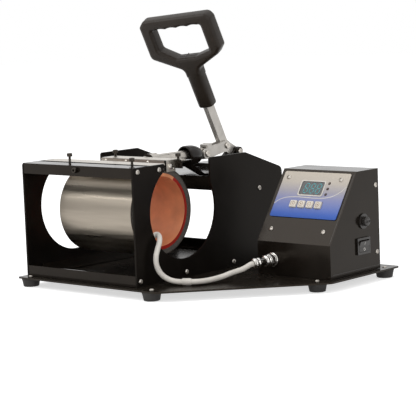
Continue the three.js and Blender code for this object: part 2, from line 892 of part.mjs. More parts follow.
const pushRod = joined(
  bar("Y", rodEndRadius, rodFrontEnd, rodShoulder + 1),
  bar("Y", rodRadius, rodShoulder, knobFront + knobCavityDepth - 2),
  bar("Y", rodTailRadius, knobFront, -tongueFront),
  swept("X", tongueOutline, -tongueThickness / 2, tongueThickness / 2, 4),
).subtract(swept("X", eyeSlot, -tongueThickness, tongueThickness));
add("push_rod", pushRod, chrome, rodFrame);

// Hexagon nuts that hold the rod in the clamp bar's lug
function rodNut(radius, from, length) {
  const nut = bar("Y", radius, from, from + length, [0, 0], 6);
  return nut.subtract(bar("Y", rodEndRadius + running, from - 1, from + length + 1));
}
add("rod_nut_rear", rodNut(rearNutRadius, barFace + nutGap, rearNutLength), zinc, rodFrame);
add("rod_nut_front", rodNut(frontNutRadius, frontNutEnd - frontNutLength, frontNutLength), zinc, rodFrame);

// Bell shaped knob, open to the front, with a bore for the rod's tail
const knobBore = rodTailRadius + running;
const knobProfile = [
  [knobBore, knobFront + knobCavityDepth],
  [knobCavityRadius - 1.5, knobFront + knobCavityDepth],
  [knobCavityRadius, knobFront + knobCavityDepth - 3],
  [knobCavityRadius + 1, knobFront],
  [knobRadius - 0.7, knobFront],
  [knobRadius, knobFront + 1.5],
  [knobRadius, knobFront + knobLength * 0.5],
  [knobRadius * 0.96, knobFront + knobLength * 0.68],
  [knobRadius * 0.86, knobFront + knobLength * 0.83],
  [knobRadius * 0.7, knobFront + knobLength * 0.94],
  [knobRadius * 0.48, knobRear],
  [knobBore, knobRear],
  [knobBore, knobFront + knobCavityDepth],
];
add("pressure_knob", turned("Y", knobProfile), blackPlastic, rodFrame);

// Toggle bracket: a foot on the deck and two ears with bushes, round the lever's pivot

const leverHalf = leverThickness / 2;
const earInner = leverHalf + seat;
const earOuter = earInner + earSheet;
const bracketTop = deckTop + seat + bracketFoot;
const bracketRear = deckRearY + bracketOverhang;
const bracketFront = bracketRear - bracketFootLength;
const ear = new THREE.Shape();
ear.moveTo(deckRearY - earFoot, deckTop + seat + 1);
ear.lineTo(bracketRear, deckTop + seat + 1);
ear.lineTo(pivot[0] + earRadius * Math.SQRT1_2, pivot[1] - earRadius * Math.SQRT1_2);
ear.absarc(pivot[0], pivot[1], earRadius, -Math.PI / 4, Math.PI * 0.9, false);
ear.lineTo(deckRearY - earBack, bracketTop + earRise);
ear.lineTo(deckRearY - earFoot, bracketTop);
ear.closePath();
const pivotHole = bar("X", pinRadius + running, -plateOuter, plateOuter, pivot);
const bracket = joined(
  block(-bracketFootWidth / 2, bracketFootWidth / 2, bracketFront, bracketRear, deckTop + seat, bracketTop),
  swept("X", ear, earInner, earOuter, 8),
  swept("X", ear, -earOuter, -earInner, 8),
  bar("X", bushRadius, earOuter - 0.5, earOuter + bushLength, pivot),
  bar("X", bushRadius, -earOuter - bushLength, -earOuter + 0.5, pivot),
).subtract(pivotHole);
add("toggle_bracket", bracket, blackPaint);

// Headed pins, each a round bar with a wider head at both ends
function headedPin(at, halfGrip) {
  const end = halfGrip + seat;
  return joined(
    bar("X", pinRadius, -end - pinHeadLength / 2, end + pinHeadLength / 2, at, 20),
    bar("X", pinHeadRadius, end, end + pinHeadLength, at, 20),
    bar("X", pinHeadRadius, -end - pinHeadLength, -end, at, 20),
  );
}

const linkInner = leverHalf + seat;
const linkOuter = linkInner + linkSheet;
add("pivot_pin", headedPin(pivot, earOuter + bushLength), chrome);
add("knee_pin", headedPin(knee, linkOuter), chrome);
add("eye_pin", headedPin(eye, linkOuter), chrome);

// Toggle link: two cheeks from the knee to the eye, joined by a web over the tongue

// The outline of a flat link: an arc about each of its two holes, joined by straight sides
function roundEnded(far, near, farRadius, nearRadius) {
  const slope = Math.atan2(far[1] - near[1], far[0] - near[0]);
  const outline = new THREE.Shape();
  outline.absarc(far[0], far[1], farRadius, slope - Math.PI / 2, slope + Math.PI / 2, false);
  outline.absarc(near[0], near[1], nearRadius, slope + Math.PI / 2, slope + Math.PI * 1.5, false);
  outline.closePath();
  return outline;
}

const linkCheek = roundEnded(knee, eye, linkRadius, linkRadius);
const linkAlong = new THREE.Vector2(knee[0] - eye[0], knee[1] - eye[1]).normalize();
function webCorner(along, up) {
  return [
    eye[0] + linkAlong.x * along - linkAlong.y * up,
    eye[1] + linkAlong.y * along + linkAlong.x * up,
  ];
}

const webFrom = linkLength * linkWebFrom;
const webTo = linkLength * linkWebTo;
const webTop = tongueHalfHeight + linkWebLift + linkWebSheet;
function webOutline(bottom) {
  return polygon([
    webCorner(webFrom, bottom),
    webCorner(webTo, bottom),
    webCorner(webTo, webTop),
    webCorner(webFrom, webTop),
  ]);
}

const web = webOutline(webTop - linkWebSheet);
const webSide = webOutline(0);
const linkHoles = joined(
  bar("X", pinRadius + running, -plateOuter, plateOuter, knee),
  bar("X", pinRadius + running, -plateOuter, plateOuter, eye),
);
const link = joined(
  swept("X", linkCheek, linkInner, linkOuter, 8),
  swept("X", linkCheek, -linkOuter, -linkInner, 8),
  swept("X", webSide, linkInner, linkOuter),
  swept("X", webSide, -linkOuter, -linkInner),
  swept("X", web, -linkOuter, linkOuter),
).subtract(linkHoles);
add("toggle_link", link, chrome);

// Lever: a flat bar from the grip down to the knee, bent back to the pivot

const lean = radians(leverLean);
const leverUp = [-Math.sin(lean), Math.cos(lean)];
const leverBack = [Math.cos(lean), Math.sin(lean)];
function alongLever(up, back) {
  return [
    knee[0] + leverUp[0] * up + leverBack[0] * back,
    knee[1] + leverUp[1] * up + leverBack[1] * back,
  ];
}

const leverBarOutline = polygon([
  alongLever(0, -leverDepth / 2),
  alongLever(0, leverDepth / 2),
  alongLever(leverReach + leverInGrip, leverDepth / 2),
  alongLever(leverReach + leverInGrip, -leverDepth / 2),
]);
const crankOutline = roundEnded(knee, pivot, leverKneeRadius, leverPivotRadius);
const leverHoles = joined(
  pivotHole,
  bar("X", pinRadius + running, -plateOuter, plateOuter, knee),
);
const lever = joined(
  swept("X", leverBarOutline, -leverHalf, leverHalf),
  swept("X", crankOutline, -leverHalf, leverHalf, 8),
).subtract(leverHoles);
add("lever_bar", lever, chrome);

// Grip: a neck over the lever bar and a D shaped loop with finger grooves. Its frame starts at the neck's
// mouth, with Z along the lever, X across the loop and Y through it.

const gripFrame = new THREE.Group();
const [gripY, gripZ] = alongLever(leverReach, 0);
gripFrame.position.set(0, gripY, gripZ);
gripFrame.rotation.set(lean, 0, radians(gripTwist));
gripFrame.updateMatrix();
press.add(gripFrame);

function gripLoopOutline() {
  const half = gripHalfWidth;
  const neck = gripNeckWidth / 2;
  const mouth = gripNeckLength - 8;
  const loop = new THREE.Shape();
  loop.moveTo(-neck, mouth);
  loop.lineTo(neck, mouth);
  loop.quadraticCurveTo(neck, gripNeckLength + 2, neck + gripFlare, gripNeckLength + 6);
  loop.lineTo(half - gripShoulderCut, gripShoulder - 6);
  loop.quadraticCurveTo(half, gripShoulder - 3, half, gripShoulder + 4);
  loop.lineTo(half, gripHeight - gripCorner);
  loop.quadraticCurveTo(half, gripHeight, half - gripCorner, gripHeight);
  loop.lineTo(-half + gripCorner, gripHeight);
  loop.quadraticCurveTo(-half + 1, gripHeight - 1, -half, gripHeight - gripCorner);
  loop.lineTo(-half, gripShoulder + 4);
  loop.quadraticCurveTo(-half, gripShoulder - 3, -half + gripShoulderCut, gripShoulder - 6);
  loop.lineTo(-neck - gripFlare, gripNeckLength + 6);
  loop.quadraticCurveTo(-neck, gripNeckLength + 2, -neck, mouth);
  loop.closePath();
  return loop;
}

// The window's floor dips in the middle, and its top has finger grooves
function gripWindowOutline() {
  const window = new THREE.Path();
  const groovesEnd = gripWindowRight - gripGrooveMargin;
  const pitch = (groovesEnd - gripWindowLeft - gripGrooveMargin) / gripGrooves;
  window.moveTo(gripFloorLeft, gripWindowFloor);
  window.lineTo(gripFloorRight, gripWindowFloor);
  window.lineTo(gripWindowRight, gripWindowCorner);
  window.lineTo(gripWindowRight, gripWindowTop);
  for (let i = 0; i < gripGrooves; i += 1) {
    const start = groovesEnd - i * pitch;
    window.lineTo(start, gripWindowTop);
    window.quadraticCurveTo(start - pitch / 2, gripWindowTop + gripGroove * 2, start - pitch, gripWindowTop);
  }
  window.lineTo(gripWindowLeft, gripWindowTop);
  window.lineTo(gripWindowLeft, gripWindowCorner);
  window.closePath();
  return window;
}

function gripBody() {
  const loopOutline = gripLoopOutline();
  loopOutline.holes.push(gripWindowOutline());
  const loop = new THREE.ExtrudeGeometry(loopOutline, {
    depth: gripDepth - 2 * gripEdge,
    bevelEnabled: true,
    bevelThickness: gripEdge,
    bevelSize: gripEdge,
    bevelOffset: -gripEdge,
    bevelSegments: 2,
    curveSegments: 5,
  });
  loop.translate(0, 0, -gripDepth / 2 + gripEdge);
  loop.rotateX(Math.PI / 2);
  const [half, halfDepth] = [gripNeckWidth / 2, gripNeckDepth / 2];
  const neckOutline = roundedOutline([
    [-half, -halfDepth],
    [half, -halfDepth],
    [half, halfDepth],
    [-half, halfDepth],
  ], gripNeckCorner);
  return solid(loop).add(swept("Z", neckOutline, 0, gripNeckLength + 6, 4));
}

const gripToPress = gripFrame.matrix;
const pocketOutline = polygon([
  alongLever(leverReach - pocketLead, -leverDepth / 2 - running),
  alongLever(leverReach - pocketLead, leverDepth / 2 + running),
  alongLever(leverReach + leverInGrip + running, leverDepth / 2 + running),
  alongLever(leverReach + leverInGrip + running, -leverDepth / 2 - running),
]);
const pocket = swept("X", pocketOutline, -leverHalf - running, leverHalf + running);
const pocketInGrip = pocket.transform(gripToPress.clone().invert().toArray());
add("grip", gripBody().subtract(pocketInGrip), blackPlastic, gripFrame);

// Control box: a cover open below and behind, a rear panel, and a sloping front in its own frame

const slopeAngle = Math.atan2(boxHeight - boxFoldHeight, boxSlopeRear - boxFrontY);
const slopeFrame = new THREE.Group();
slopeFrame.position.set(boxLeft, boxFrontY, boxFoldHeight);
slopeFrame.rotation.set(slopeAngle, 0, 0);
slopeFrame.updateMatrix();
press.add(slopeFrame);

function boxOutline(inset) {
  const slopeShift = inset / Math.sin(slopeAngle);
  const run = (boxSlopeRear - boxFrontY) / (boxHeight - boxFoldHeight);
  const foldZ = boxFoldHeight - (inset - slopeShift) / run;
  const topZ = boxHeight - inset;
  const topY = boxFrontY + slopeShift + (topZ - boxFoldHeight) * run;
  return { foldZ, topZ, topY };
}

const coverBottom = seat;
const inner = boxOutline(boxSheet);
const coverOutline = polygon([
  [boxFrontY, coverBottom],
  [boxRearY, coverBottom],
  [boxRearY, boxHeight],
  [boxSlopeRear, boxHeight],
  [boxFrontY, boxFoldHeight],
]);
const coverHollow = polygon([
  [boxFrontY + boxSheet, coverBottom - 5],
  [boxRearY + 5, coverBottom - 5],
  [boxRearY + 5, inner.topZ],
  [inner.topY, inner.topZ],
  [boxFrontY + boxSheet, inner.foldZ],
]);

// Cut-outs of the sloping front, in its frame
function slopeCut(u0, u1, v0, v1) {
  return block(u0, u1, v0, v1, -boxSheet * 3, boxSheet * 3);
}

const displayRight = displayLeft + displayWidth;
const displayTop = displayBottom + displayHeight;
const buttonXs = Array.from({ length: buttonCount }, (_, i) => buttonFirst + i * buttonPitch);
const ledRows = Array.from({ length: ledCount }, (_, i) => ledTop - i * ledPitch);
const buttonCuts = buttonXs.map((u) => slopeCut(
  u - buttonWidth / 2 - running,
  u + buttonWidth / 2 + running,
  buttonRow - buttonHeight / 2 - running,
  buttonRow + buttonHeight / 2 + running,
));
const ledCuts = ledRows.map((v) => (
  bar("Z", ledRadius + running, -boxSheet * 3, boxSheet * 3, [ledColumn, v], 12)
));
const displayCut = slopeCut(
  displayLeft + displayFrame,
  displayRight - displayFrame,
  displayBottom + displayFrame,
  displayTop - displayFrame,
);
const slopeCuts = joined(displayCut, ...buttonCuts, ...ledCuts).transform(slopeFrame.matrix.toArray());

const fuseY = boxRearY - fuseSetback;
const rockerY = boxRearY - rockerSetback;
const socketX = boxLeft + socketInset;
const inletX = boxLeft + inletInset;
const rockerCut = block(
  boxRight - boxSheet * 2,
  boxRight + 1,
  rockerY - rockerWidth / 2 + rockerBodyInset - running,
  rockerY + rockerWidth / 2 - rockerBodyInset + running,
  rockerZ - rockerHeight / 2 + rockerBodyInset - running,
  rockerZ + rockerHeight / 2 - rockerBodyInset + running,
);
const coverCuts = joined(
  slopeCuts,
  rockerCut,
  bar("X", fuseBarrelRadius + running, boxRight - boxSheet * 2, boxRight + 1, [fuseY, fuseZ]),
  bar("Y", socketBarrelRadius + running, boxFrontY - 1, boxFrontY + boxSheet * 2, [socketZ, socketX]),
);
const cover = swept("X", coverOutline, boxLeft, boxRight)
  .subtract(swept("X", coverHollow, boxLeft + boxSheet, boxRight - boxSheet))
  .subtract(coverCuts);
add("control_cover", cover, blackPaint);

const inletCut = block(
  inletX - inletWidth / 2 - running,
  inletX + inletWidth / 2 + running,
  boxRearY - 10,
  boxRearY + 10,
  inletZ - inletHeight / 2 - running,
  inletZ + inletHeight / 2 + running,
);
const rearPanel = block(
  boxLeft + boxSheet + seat,
  boxRight - boxSheet - seat,
  boxRearY - rearPanelInset - rearPanelSheet,
  boxRearY - rearPanelInset,
  seat,
  inner.topZ - seat,
).subtract(inletCut);
add("control_rear_panel", rearPanel, blackPaint);

// Label plate, display window, lamps, buttons and circuit board on the sloping front

const labelBase = seat;
const labelPlate = block(
  labelLeft,
  labelLeft + labelWidth,
  labelBottom,
  labelBottom + labelHeight,
  labelBase,
  labelBase + labelSheet,
);
const labelDisplayCut = slopeCut(
  displayLeft - running,
  displayRight + running,
  displayBottom - running,
  displayTop + running,
);
const labelCuts = joined(labelDisplayCut, ...buttonCuts, ...ledCuts);
add("control_label", labelPlate.subtract(labelCuts), labelBlue, slopeFrame);

const displayWindow = block(displayLeft, displayRight, displayBottom, displayTop, seat, seat + displaySheet);
add("display_window", displayWindow, windowGlass, slopeFrame);

buttonXs.forEach((u, i) => {
  const top = labelBase + labelSheet + buttonProud;
  const flangeTop = -boxSheet - seat;
  const body = block(
    u - buttonWidth / 2,
    u + buttonWidth / 2,
    buttonRow - buttonHeight / 2,
    buttonRow + buttonHeight / 2,
    -buttonDepth,
    top,
  );
  const flange = block(
    u - buttonWidth / 2 - buttonFlange,
    u + buttonWidth / 2 + buttonFlange,
    buttonRow - buttonHeight / 2 - buttonFlange,
    buttonRow + buttonHeight / 2 + buttonFlange,
    flangeTop - buttonFlangeSheet,
    flangeTop,
  );
  add(`button_${i + 1}`, body.add(flange), buttonGrey, slopeFrame);
});

ledRows.forEach((v, i) => {
  const top = labelBase + labelSheet + ledProud;
  const profile = [
    [0, -boardDepth + seat],
    [ledRadius, -boardDepth + seat],
    [ledRadius, top - 1],
    [ledRadius * 0.8, top - 0.4],
    [0, top],
  ];
  add(`led_${i + 1}`, turned("Z", profile, [ledColumn, v], 12), ledGreen, slopeFrame);
});

const boardBottom = labelBottom - boardMargin / 2;
const boardTop = labelBottom + labelHeight - boardMargin;
const boardLeft = labelLeft + boardMargin;
const boardRight = labelLeft + labelWidth - boardMargin;
let circuitBoard = block(boardLeft, boardRight, boardBottom, boardTop, -boardDepth - boardSheet, -boardDepth);
for (const u of [boardLeft + boardPostRadius, boardRight - boardPostRadius]) {
  for (const v of [boardBottom + boardPostRadius, boardTop - boardPostRadius]) {
    circuitBoard = circuitBoard.add(
      bar("Z", boardPostRadius, -boardDepth - 0.5, -boxSheet - seat, [u, v], 12),
    );
  }
}
add("circuit_board", circuitBoard, boardGreen, slopeFrame);

// Fuse holder with a turning cap, and the rocker switch

const sideFace = boxRight + seat;
const fuseHolder = joined(
  bar("X", fuseBarrelRadius, boxRight - fuseBarrelLength, sideFace + 0.5, [fuseY, fuseZ]),
  bar("X", fuseFlangeRadius, sideFace, sideFace + fuseFlangeSheet, [fuseY, fuseZ]),
);
add("fuse_holder", fuseHolder, blackPlastic);

const capBase = sideFace + fuseFlangeSheet + seat;
const capSlot = block(
  capBase + fuseCapLength - fuseSlotDepth,
  capBase + fuseCapLength + 1,
  fuseY - fuseCapRadius - 1,
  fuseY + fuseCapRadius + 1,
  fuseZ - fuseSlotWidth / 2,
  fuseZ + fuseSlotWidth / 2,
);
const capProfile = [
  [0, capBase],
  [fuseCapRadius, capBase],
  [fuseCapRadius, capBase + fuseCapLength - fuseCapBevel],
  [fuseCapRadius - fuseCapBevel, capBase + fuseCapLength],
  [0, capBase + fuseCapLength],
];
add("fuse_cap", turned("X", capProfile, [fuseY, fuseZ]).subtract(capSlot), blackPlastic);

const rockerHalfWidth = rockerWidth / 2;
const rockerHalfHeight = rockerHeight / 2;
const rockerWellHalfWidth = rockerHalfWidth - rockerRim;
const rockerWellHalfHeight = rockerHalfHeight - rockerRim;
const rockerBody = joined(
  block(
    boxRight - rockerBodyDepth,
    sideFace + 0.5,
    rockerY - rockerHalfWidth + rockerBodyInset,
    rockerY + rockerHalfWidth - rockerBodyInset,
    rockerZ - rockerHalfHeight + rockerBodyInset,
    rockerZ + rockerHalfHeight - rockerBodyInset,
  ),
  block(
    sideFace,
    sideFace + rockerFlangeSheet,
    rockerY - rockerHalfWidth,
    rockerY + rockerHalfWidth,
    rockerZ - rockerHalfHeight,
    rockerZ + rockerHalfHeight,
  ),
);
const rockerWell = block(
  sideFace - rockerThickness,
  sideFace + rockerFlangeSheet + 1,
  rockerY - rockerWellHalfWidth,
  rockerY + rockerWellHalfWidth,
  rockerZ - rockerWellHalfHeight,
  rockerZ + rockerWellHalfHeight,
);
add("rocker_frame", rockerBody.subtract(rockerWell), blackPlastic);

// The paddle's outline in X and Z: a shallow V that rocks about its middle
const paddleReach = rockerWellHalfHeight - paddleGap;
const paddleTilt = radians(rockerTilt);
function paddlePoint(across, out) {
  const x = sideFace + out * Math.cos(paddleTilt) + across * Math.sin(paddleTilt);
  const z = rockerZ + across * Math.cos(paddleTilt) - out * Math.sin(paddleTilt);
  return [z, x];
}
const paddleOutline = polygon([
  paddlePoint(-paddleReach, 0),
  paddlePoint(-paddleKeelHalf, -paddleKeel),
  paddlePoint(paddleKeelHalf, -paddleKeel),
  paddlePoint(paddleReach, 0),
  paddlePoint(paddleReach, paddleEnd),
  paddlePoint(0, paddleMiddle),
  paddlePoint(-paddleReach, paddleEnd),
]);
const paddleHalfWidth = rockerWellHalfWidth - paddleSideGap;
const paddle = swept("Y", paddleOutline, rockerY - paddleHalfWidth, rockerY + paddleHalfWidth);
add("rocker_paddle", paddle, blackPlastic);

// Transformer on the base plate and the mains inlet in the rear panel

const transformerX = boxLeft + transformerInset;
const transformer = joined(
  block(
    transformerX,
    transformerX + transformerLength,
    boxFrontY + transformerInset,
    boxFrontY + transformerInset + transformerWidth,
    seat,
    transformerHeight,
  ),
  block(
    transformerX + coilInset,
    transformerX + transformerLength - coilInset,
    boxFrontY + transformerInset - coilProud,
    boxFrontY + transformerInset + transformerWidth + coilProud,
    coilBottom,
    transformerHeight - coilDrop,
  ),
);
add("transformer", transformer, ironCore);

const rearFace = boxRearY - rearPanelInset;
const inletFront = rearFace + seat;
const inletShell = joined(
  block(
    inletX - inletWidth / 2,
    inletX + inletWidth / 2,
    rearFace - inletDepth,
    inletFront + 0.5,
    inletZ - inletHeight / 2,
    inletZ + inletHeight / 2,
  ),
  block(
    inletX - inletWidth / 2 - inletFlange,
    inletX + inletWidth / 2 + inletFlange,
    inletFront,
    inletFront + inletFlangeSheet,
    inletZ - inletHeight / 2 - inletFlange,
    inletZ + inletHeight / 2 + inletFlange,
  ),
);
const inletWell = block(
  inletX - inletWidth / 2 + inletWall,
  inletX + inletWidth / 2 - inletWall,
  rearFace - inletDepth + inletFloor,
  inletFront + 5,
  inletZ - inletHeight / 2 + inletWall,
  inletZ + inletHeight / 2 - inletWall,
);
const inletPins = [[-inletPinSpacing, 0], [0, inletPinRise], [inletPinSpacing, 0]].map(([x, z]) => (
  bar("Y", inletPinRadius, rearFace - inletDepth + 1, rearFace - 2, [inletZ + z, inletX + x], 10)
));
add("power_inlet", joined(inletShell.subtract(inletWell), ...inletPins), blackPlastic);

// Output socket on the box front, with the plug and its nut on it

const socketFace = boxFrontY - seat;
const socketAt = [socketZ, socketX];
const socketProfile = [
  [0, boxFrontY + socketBarrelInside],
  [socketBarrelRadius, boxFrontY + socketBarrelInside],
  [socketBarrelRadius, socketFace],
  [socketFlangeRadius, socketFace],
  [socketFlangeRadius, socketFace - socketFlangeSheet],
  [socketBarrelRadius - 1, socketFace - socketFlangeSheet],
  [socketBarrelRadius - 1, socketFace - socketFlangeSheet - socketBarrelOutside],
  [0, socketFace - socketFlangeSheet - socketBarrelOutside],
];
add("output_socket", turned("Y", socketProfile, socketAt), zinc);

const nutRear = socketFace - socketFlangeSheet - plugGap;
const nutFront = nutRear - plugNutLength;
const nutBore = socketBarrelRadius - 1 + running;
const plugNutProfile = [
  [nutBore, nutRear],
  [plugNutRadius, nutRear],
  [plugNutRadius, nutFront + plugNutChamfer],
  [plugNutRadius - plugNutChamfer, nutFront],
  [nutBore, nutFront],
  [nutBore, nutRear],
];
add("plug_nut", turned("Y", plugNutProfile, socketAt), chrome);

const plugFront = nutFront - seat;
const plugEnd = plugFront - plugLength;
const plugNeckEnd = plugFront - plugCollarLength - plugNeckLength;
const firstRingEnd = plugNeckEnd - plugBevel - plugRingLength;
const secondRingEnd = firstRingEnd - plugGroove - plugRingLength;
const plugProfile = [
  [0, plugFront],
  [plugCollarRadius, plugFront],
  [plugCollarRadius, plugFront - plugCollarLength],
  [plugNeckRadius, plugFront - plugCollarLength - plugBevel],
  [plugNeckRadius, plugNeckEnd],
  [plugRadius, plugNeckEnd - plugBevel],
  [plugRadius, firstRingEnd],
  [plugRadius - plugGroove, firstRingEnd - plugGroove / 2],
  [plugRadius, firstRingEnd - plugGroove],
  [plugRadius, secondRingEnd],
  [leadRadius + plugTailWall, secondRingEnd - plugBevel],
  [leadRadius + plugTailWall, plugEnd],
  [0, plugEnd],
];
add("lead_plug", turned("Y", plugProfile, socketAt), chrome);

// Heater lead from the terminal on the heater's end, out through the notch, along the base and up to a plug.
// Its middle points are shares of the way from the heater to the plate, from the terminal back to the plug,
// and from the base up to the terminal or the socket.

const terminalY = heaterY - heaterRadius * terminalForwardShare;
const terminalZ = heaterZ - heaterRadius * terminalDropShare;
const leadStartX = heaterHalf + seat + terminalSize;
const leadStart = [terminalY + 0.5, terminalZ + 1];

function outward(share) {
  return THREE.MathUtils.lerp(leadStartX, plateOuter, share);
}

function toPlug(share) {
  return THREE.MathUtils.lerp(terminalY, plugEnd, share);
}

function toTerminal(share) {
  return THREE.MathUtils.lerp(leadLift, terminalZ, share);
}

function toSocket(share) {
  return THREE.MathUtils.lerp(leadLift, socketZ, share);
}

const leadPoints = [
  [leadStartX + seat, ...leadStart],
  [leadStartX + 5, ...leadStart],
  [outward(0.673), terminalY - 5.3, terminalZ + 6.2],
  [outward(0.918), terminalY - 8.3, terminalZ + 8.2],
  [plateOuter + 2.6, terminalY - 10.4, terminalZ + 8],
  [plateOuter + 6.6, terminalY - 13, terminalZ + 5.3],
  [plateOuter + 8.9, terminalY - 16.1, terminalZ + 0.3],
  [plateOuter + 9.4, terminalY - 20.3, terminalZ - 7.4],
  [plateOuter + 9.4, terminalY - 23.3, toTerminal(0.652)],
  [plateOuter + 10.4, terminalY - 23.5, toTerminal(0.422)],
  [plateOuter + 14, terminalY - 20.3, toTerminal(0.196)],
  [plateOuter + 21.8, terminalY - 15.2, toTerminal(0.047)],
  [plateOuter + 32, terminalY - 11.3, leadLift],
  [plateOuter + 40.5, terminalY - 7, leadLift],
  [boxLeft - 8.5, terminalY - 2, leadLift],
  [boxLeft - 3, toPlug(0.111), leadLift],
  [boxLeft + 0.5, toPlug(0.305), toSocket(0.037)],
  [boxLeft + 4, toPlug(0.493), toSocket(0.148)],
  [boxLeft + 8.4, toPlug(0.624), toSocket(0.333)],
  [boxLeft + 13.7, toPlug(0.706), toSocket(0.504)],
  [boxLeft + 18.6, toPlug(0.778), toSocket(0.644)],
  [socketX - 1.8, toPlug(0.847), toSocket(0.807)],
  [socketX - 0.4, plugEnd - 6.4, toSocket(0.933)],
  [socketX, plugEnd - 3.2, socketZ],
  [socketX, plugEnd - seat, socketZ],
].map((point) => new THREE.Vector3(...point));
const leadCurve = new THREE.CatmullRomCurve3(leadPoints);

function tubeAlong(curve, radius, steps) {
  const circle = polygon(Array.from({ length: leadSides }, (_, i) => {
    const angle = (2 * Math.PI * i) / leadSides;
    return [radius * Math.cos(angle), radius * Math.sin(angle)];
  }));
  return solid(new THREE.ExtrudeGeometry(circle, { steps, extrudePath: curve, bevelEnabled: false }));
}

const leadTube = tubeAlong(leadCurve, leadRadius, leadSteps);

// Splice sleeve over the lowest stretch of the lead
const sleeveCentre = leadCurve.getPointAt(sleeveAt);
const sleeveAlong = leadCurve.getTangentAt(sleeveAt);
const sleeveMatrix = new THREE.Matrix4().makeRotationFromQuaternion(
  new THREE.Quaternion().setFromUnitVectors(new THREE.Vector3(0, 1, 0), sleeveAlong),
).setPosition(sleeveCentre);
const sleeveEnd = sleeveLength / 2;
const sleeveBody = bar("Y", sleeveRadius, -sleeveEnd, sleeveEnd).transform(sleeveMatrix.toArray());
const sleeveBore = tubeAlong(leadCurve, leadRadius + running, leadSteps);
add("heater_lead", leadTube, whiteSleeve);
add("lead_sleeve", sleeveBody.subtract(sleeveBore), whiteSleeve);

const terminal = block(
  heaterHalf + seat,
  leadStartX,
  terminalY - terminalSize / 2,
  terminalY + terminalSize / 2,
  terminalZ - terminalSize / 2,
  terminalZ + terminalSize / 2,
);
add("heater_terminal", terminal, whiteSleeve);

// The origin is the middle of the press's bounding box, on the surface that the feet stand on
const cordNames = ["heater_lead", "lead_sleeve", "lead_plug", "plug_nut"];
press.updateMatrixWorld(true);
const extent = new THREE.Box3();
press.traverse((piece) => {
  if (piece.isMesh && !cordNames.includes(piece.name)) {
    extent.union(new THREE.Box3().setFromObject(piece, true));
  }
});
const centre = extent.getCenter(new THREE.Vector3());
press.position.set(-centre.x, -centre.y, -extent.min.z);

export default press;
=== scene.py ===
"""Looks of a mug heat press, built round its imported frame.

Pieces are shaped in millimetres in a frame of their own and placed in metres by that frame's matrix. The
press's own frame starts at the cradle's middle, the side plates' front edge and the base plate's top.
"""

import math

import bmesh
import bpy
from mathutils import Matrix, Vector


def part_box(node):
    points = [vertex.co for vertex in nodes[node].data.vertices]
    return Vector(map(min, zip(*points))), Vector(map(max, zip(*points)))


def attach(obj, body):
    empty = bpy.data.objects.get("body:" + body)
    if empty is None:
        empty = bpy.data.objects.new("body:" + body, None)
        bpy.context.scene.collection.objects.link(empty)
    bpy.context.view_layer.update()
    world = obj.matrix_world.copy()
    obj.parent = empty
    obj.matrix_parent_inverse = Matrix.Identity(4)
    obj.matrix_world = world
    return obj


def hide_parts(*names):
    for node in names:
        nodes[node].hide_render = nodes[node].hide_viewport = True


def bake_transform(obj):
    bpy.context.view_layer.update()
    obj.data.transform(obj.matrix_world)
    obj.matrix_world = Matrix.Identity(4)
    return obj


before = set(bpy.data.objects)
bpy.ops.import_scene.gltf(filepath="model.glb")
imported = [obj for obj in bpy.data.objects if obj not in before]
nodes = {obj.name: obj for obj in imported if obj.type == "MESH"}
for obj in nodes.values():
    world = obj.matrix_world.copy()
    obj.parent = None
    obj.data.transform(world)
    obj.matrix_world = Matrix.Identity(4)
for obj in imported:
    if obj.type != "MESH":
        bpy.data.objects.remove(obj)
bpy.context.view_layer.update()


def add_object(name, data):
    made = bpy.data.objects.new(name, data)
    bpy.context.scene.collection.objects.link(made)
    return made


# Frames of reference

PLATE_OUTER = 92
right_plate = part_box("side_plate_right")
base_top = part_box("base_plate")[1][2]
origin = Vector((right_plate[1][0] - PLATE_OUTER / 1000, right_plate[0][1], base_top))


def millimetres_from(place):
    """A frame in millimetres that starts at a place given in metres."""
    return Matrix.Translation(place) @ Matrix.Scale(0.001, 4)


def shift(x, y, z):
    return Matrix.Translation((x, y, z))


def turn_about(axis, degrees):
    return Matrix.Rotation(math.radians(degrees), 4, axis)


def middle_of(node):
    low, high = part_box(node)
    return (Vector(low) + Vector(high)) / 2


def span_of(node, axis):
    """Where a node starts and ends along an axis of the press's frame."""
    low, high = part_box(node)
    return (low[axis] - origin[axis]) * 1000, (high[axis] - origin[axis]) * 1000


def upright_at(node, height):
    """A frame in millimetres on a node's upright axis, at a height given in metres."""
    middle = middle_of(node)
    return millimetres_from((middle.x, middle.y, height))


PRESS = millimetres_from(origin)
ALONG_X = turn_about("Y", 90)
ALONG_Y = turn_about("X", -90)

# For outlines drawn in Y and Z, with their thickness along X
SWEEP_X = Matrix(((0, 0, 1, 0), (1, 0, 0, 0), (0, 1, 0, 0), (0, 0, 0, 1)))

# Toggle pivots, as they stand with the lever raised
PLATE_LENGTH = 272
DECK_TOP = 113
PIVOT_BEHIND = 16
PIVOT_RISE = 15.5
CRANK_LENGTH = 22.1
CRANK_RISE = 25.4
LINK_LENGTH = 39.6
EYE_RISE = 2.5
LEVER_LEAN = 26.5
LEVER_REACH = 61
GRIP_TWIST = 10.5

pivot = Vector((0, PLATE_LENGTH + PIVOT_BEHIND, DECK_TOP + PIVOT_RISE))
crank = math.radians(CRANK_RISE)
knee = pivot + CRANK_LENGTH * Vector((0, -math.cos(crank), math.sin(crank)))
eye_z = pivot.z + EYE_RISE
eye = Vector((0, knee.y - math.sqrt(LINK_LENGTH**2 - (knee.z - eye_z) ** 2), eye_z))
lean = math.radians(LEVER_LEAN)
grip_mouth = knee + LEVER_REACH * Vector((0, -math.sin(lean), math.cos(lean)))
GRIP = PRESS @ Matrix.Translation(grip_mouth) @ turn_about("X", LEVER_LEAN) @ turn_about("Z", GRIP_TWIST)
ROD = PRESS @ Matrix.Translation(eye) @ ALONG_Y

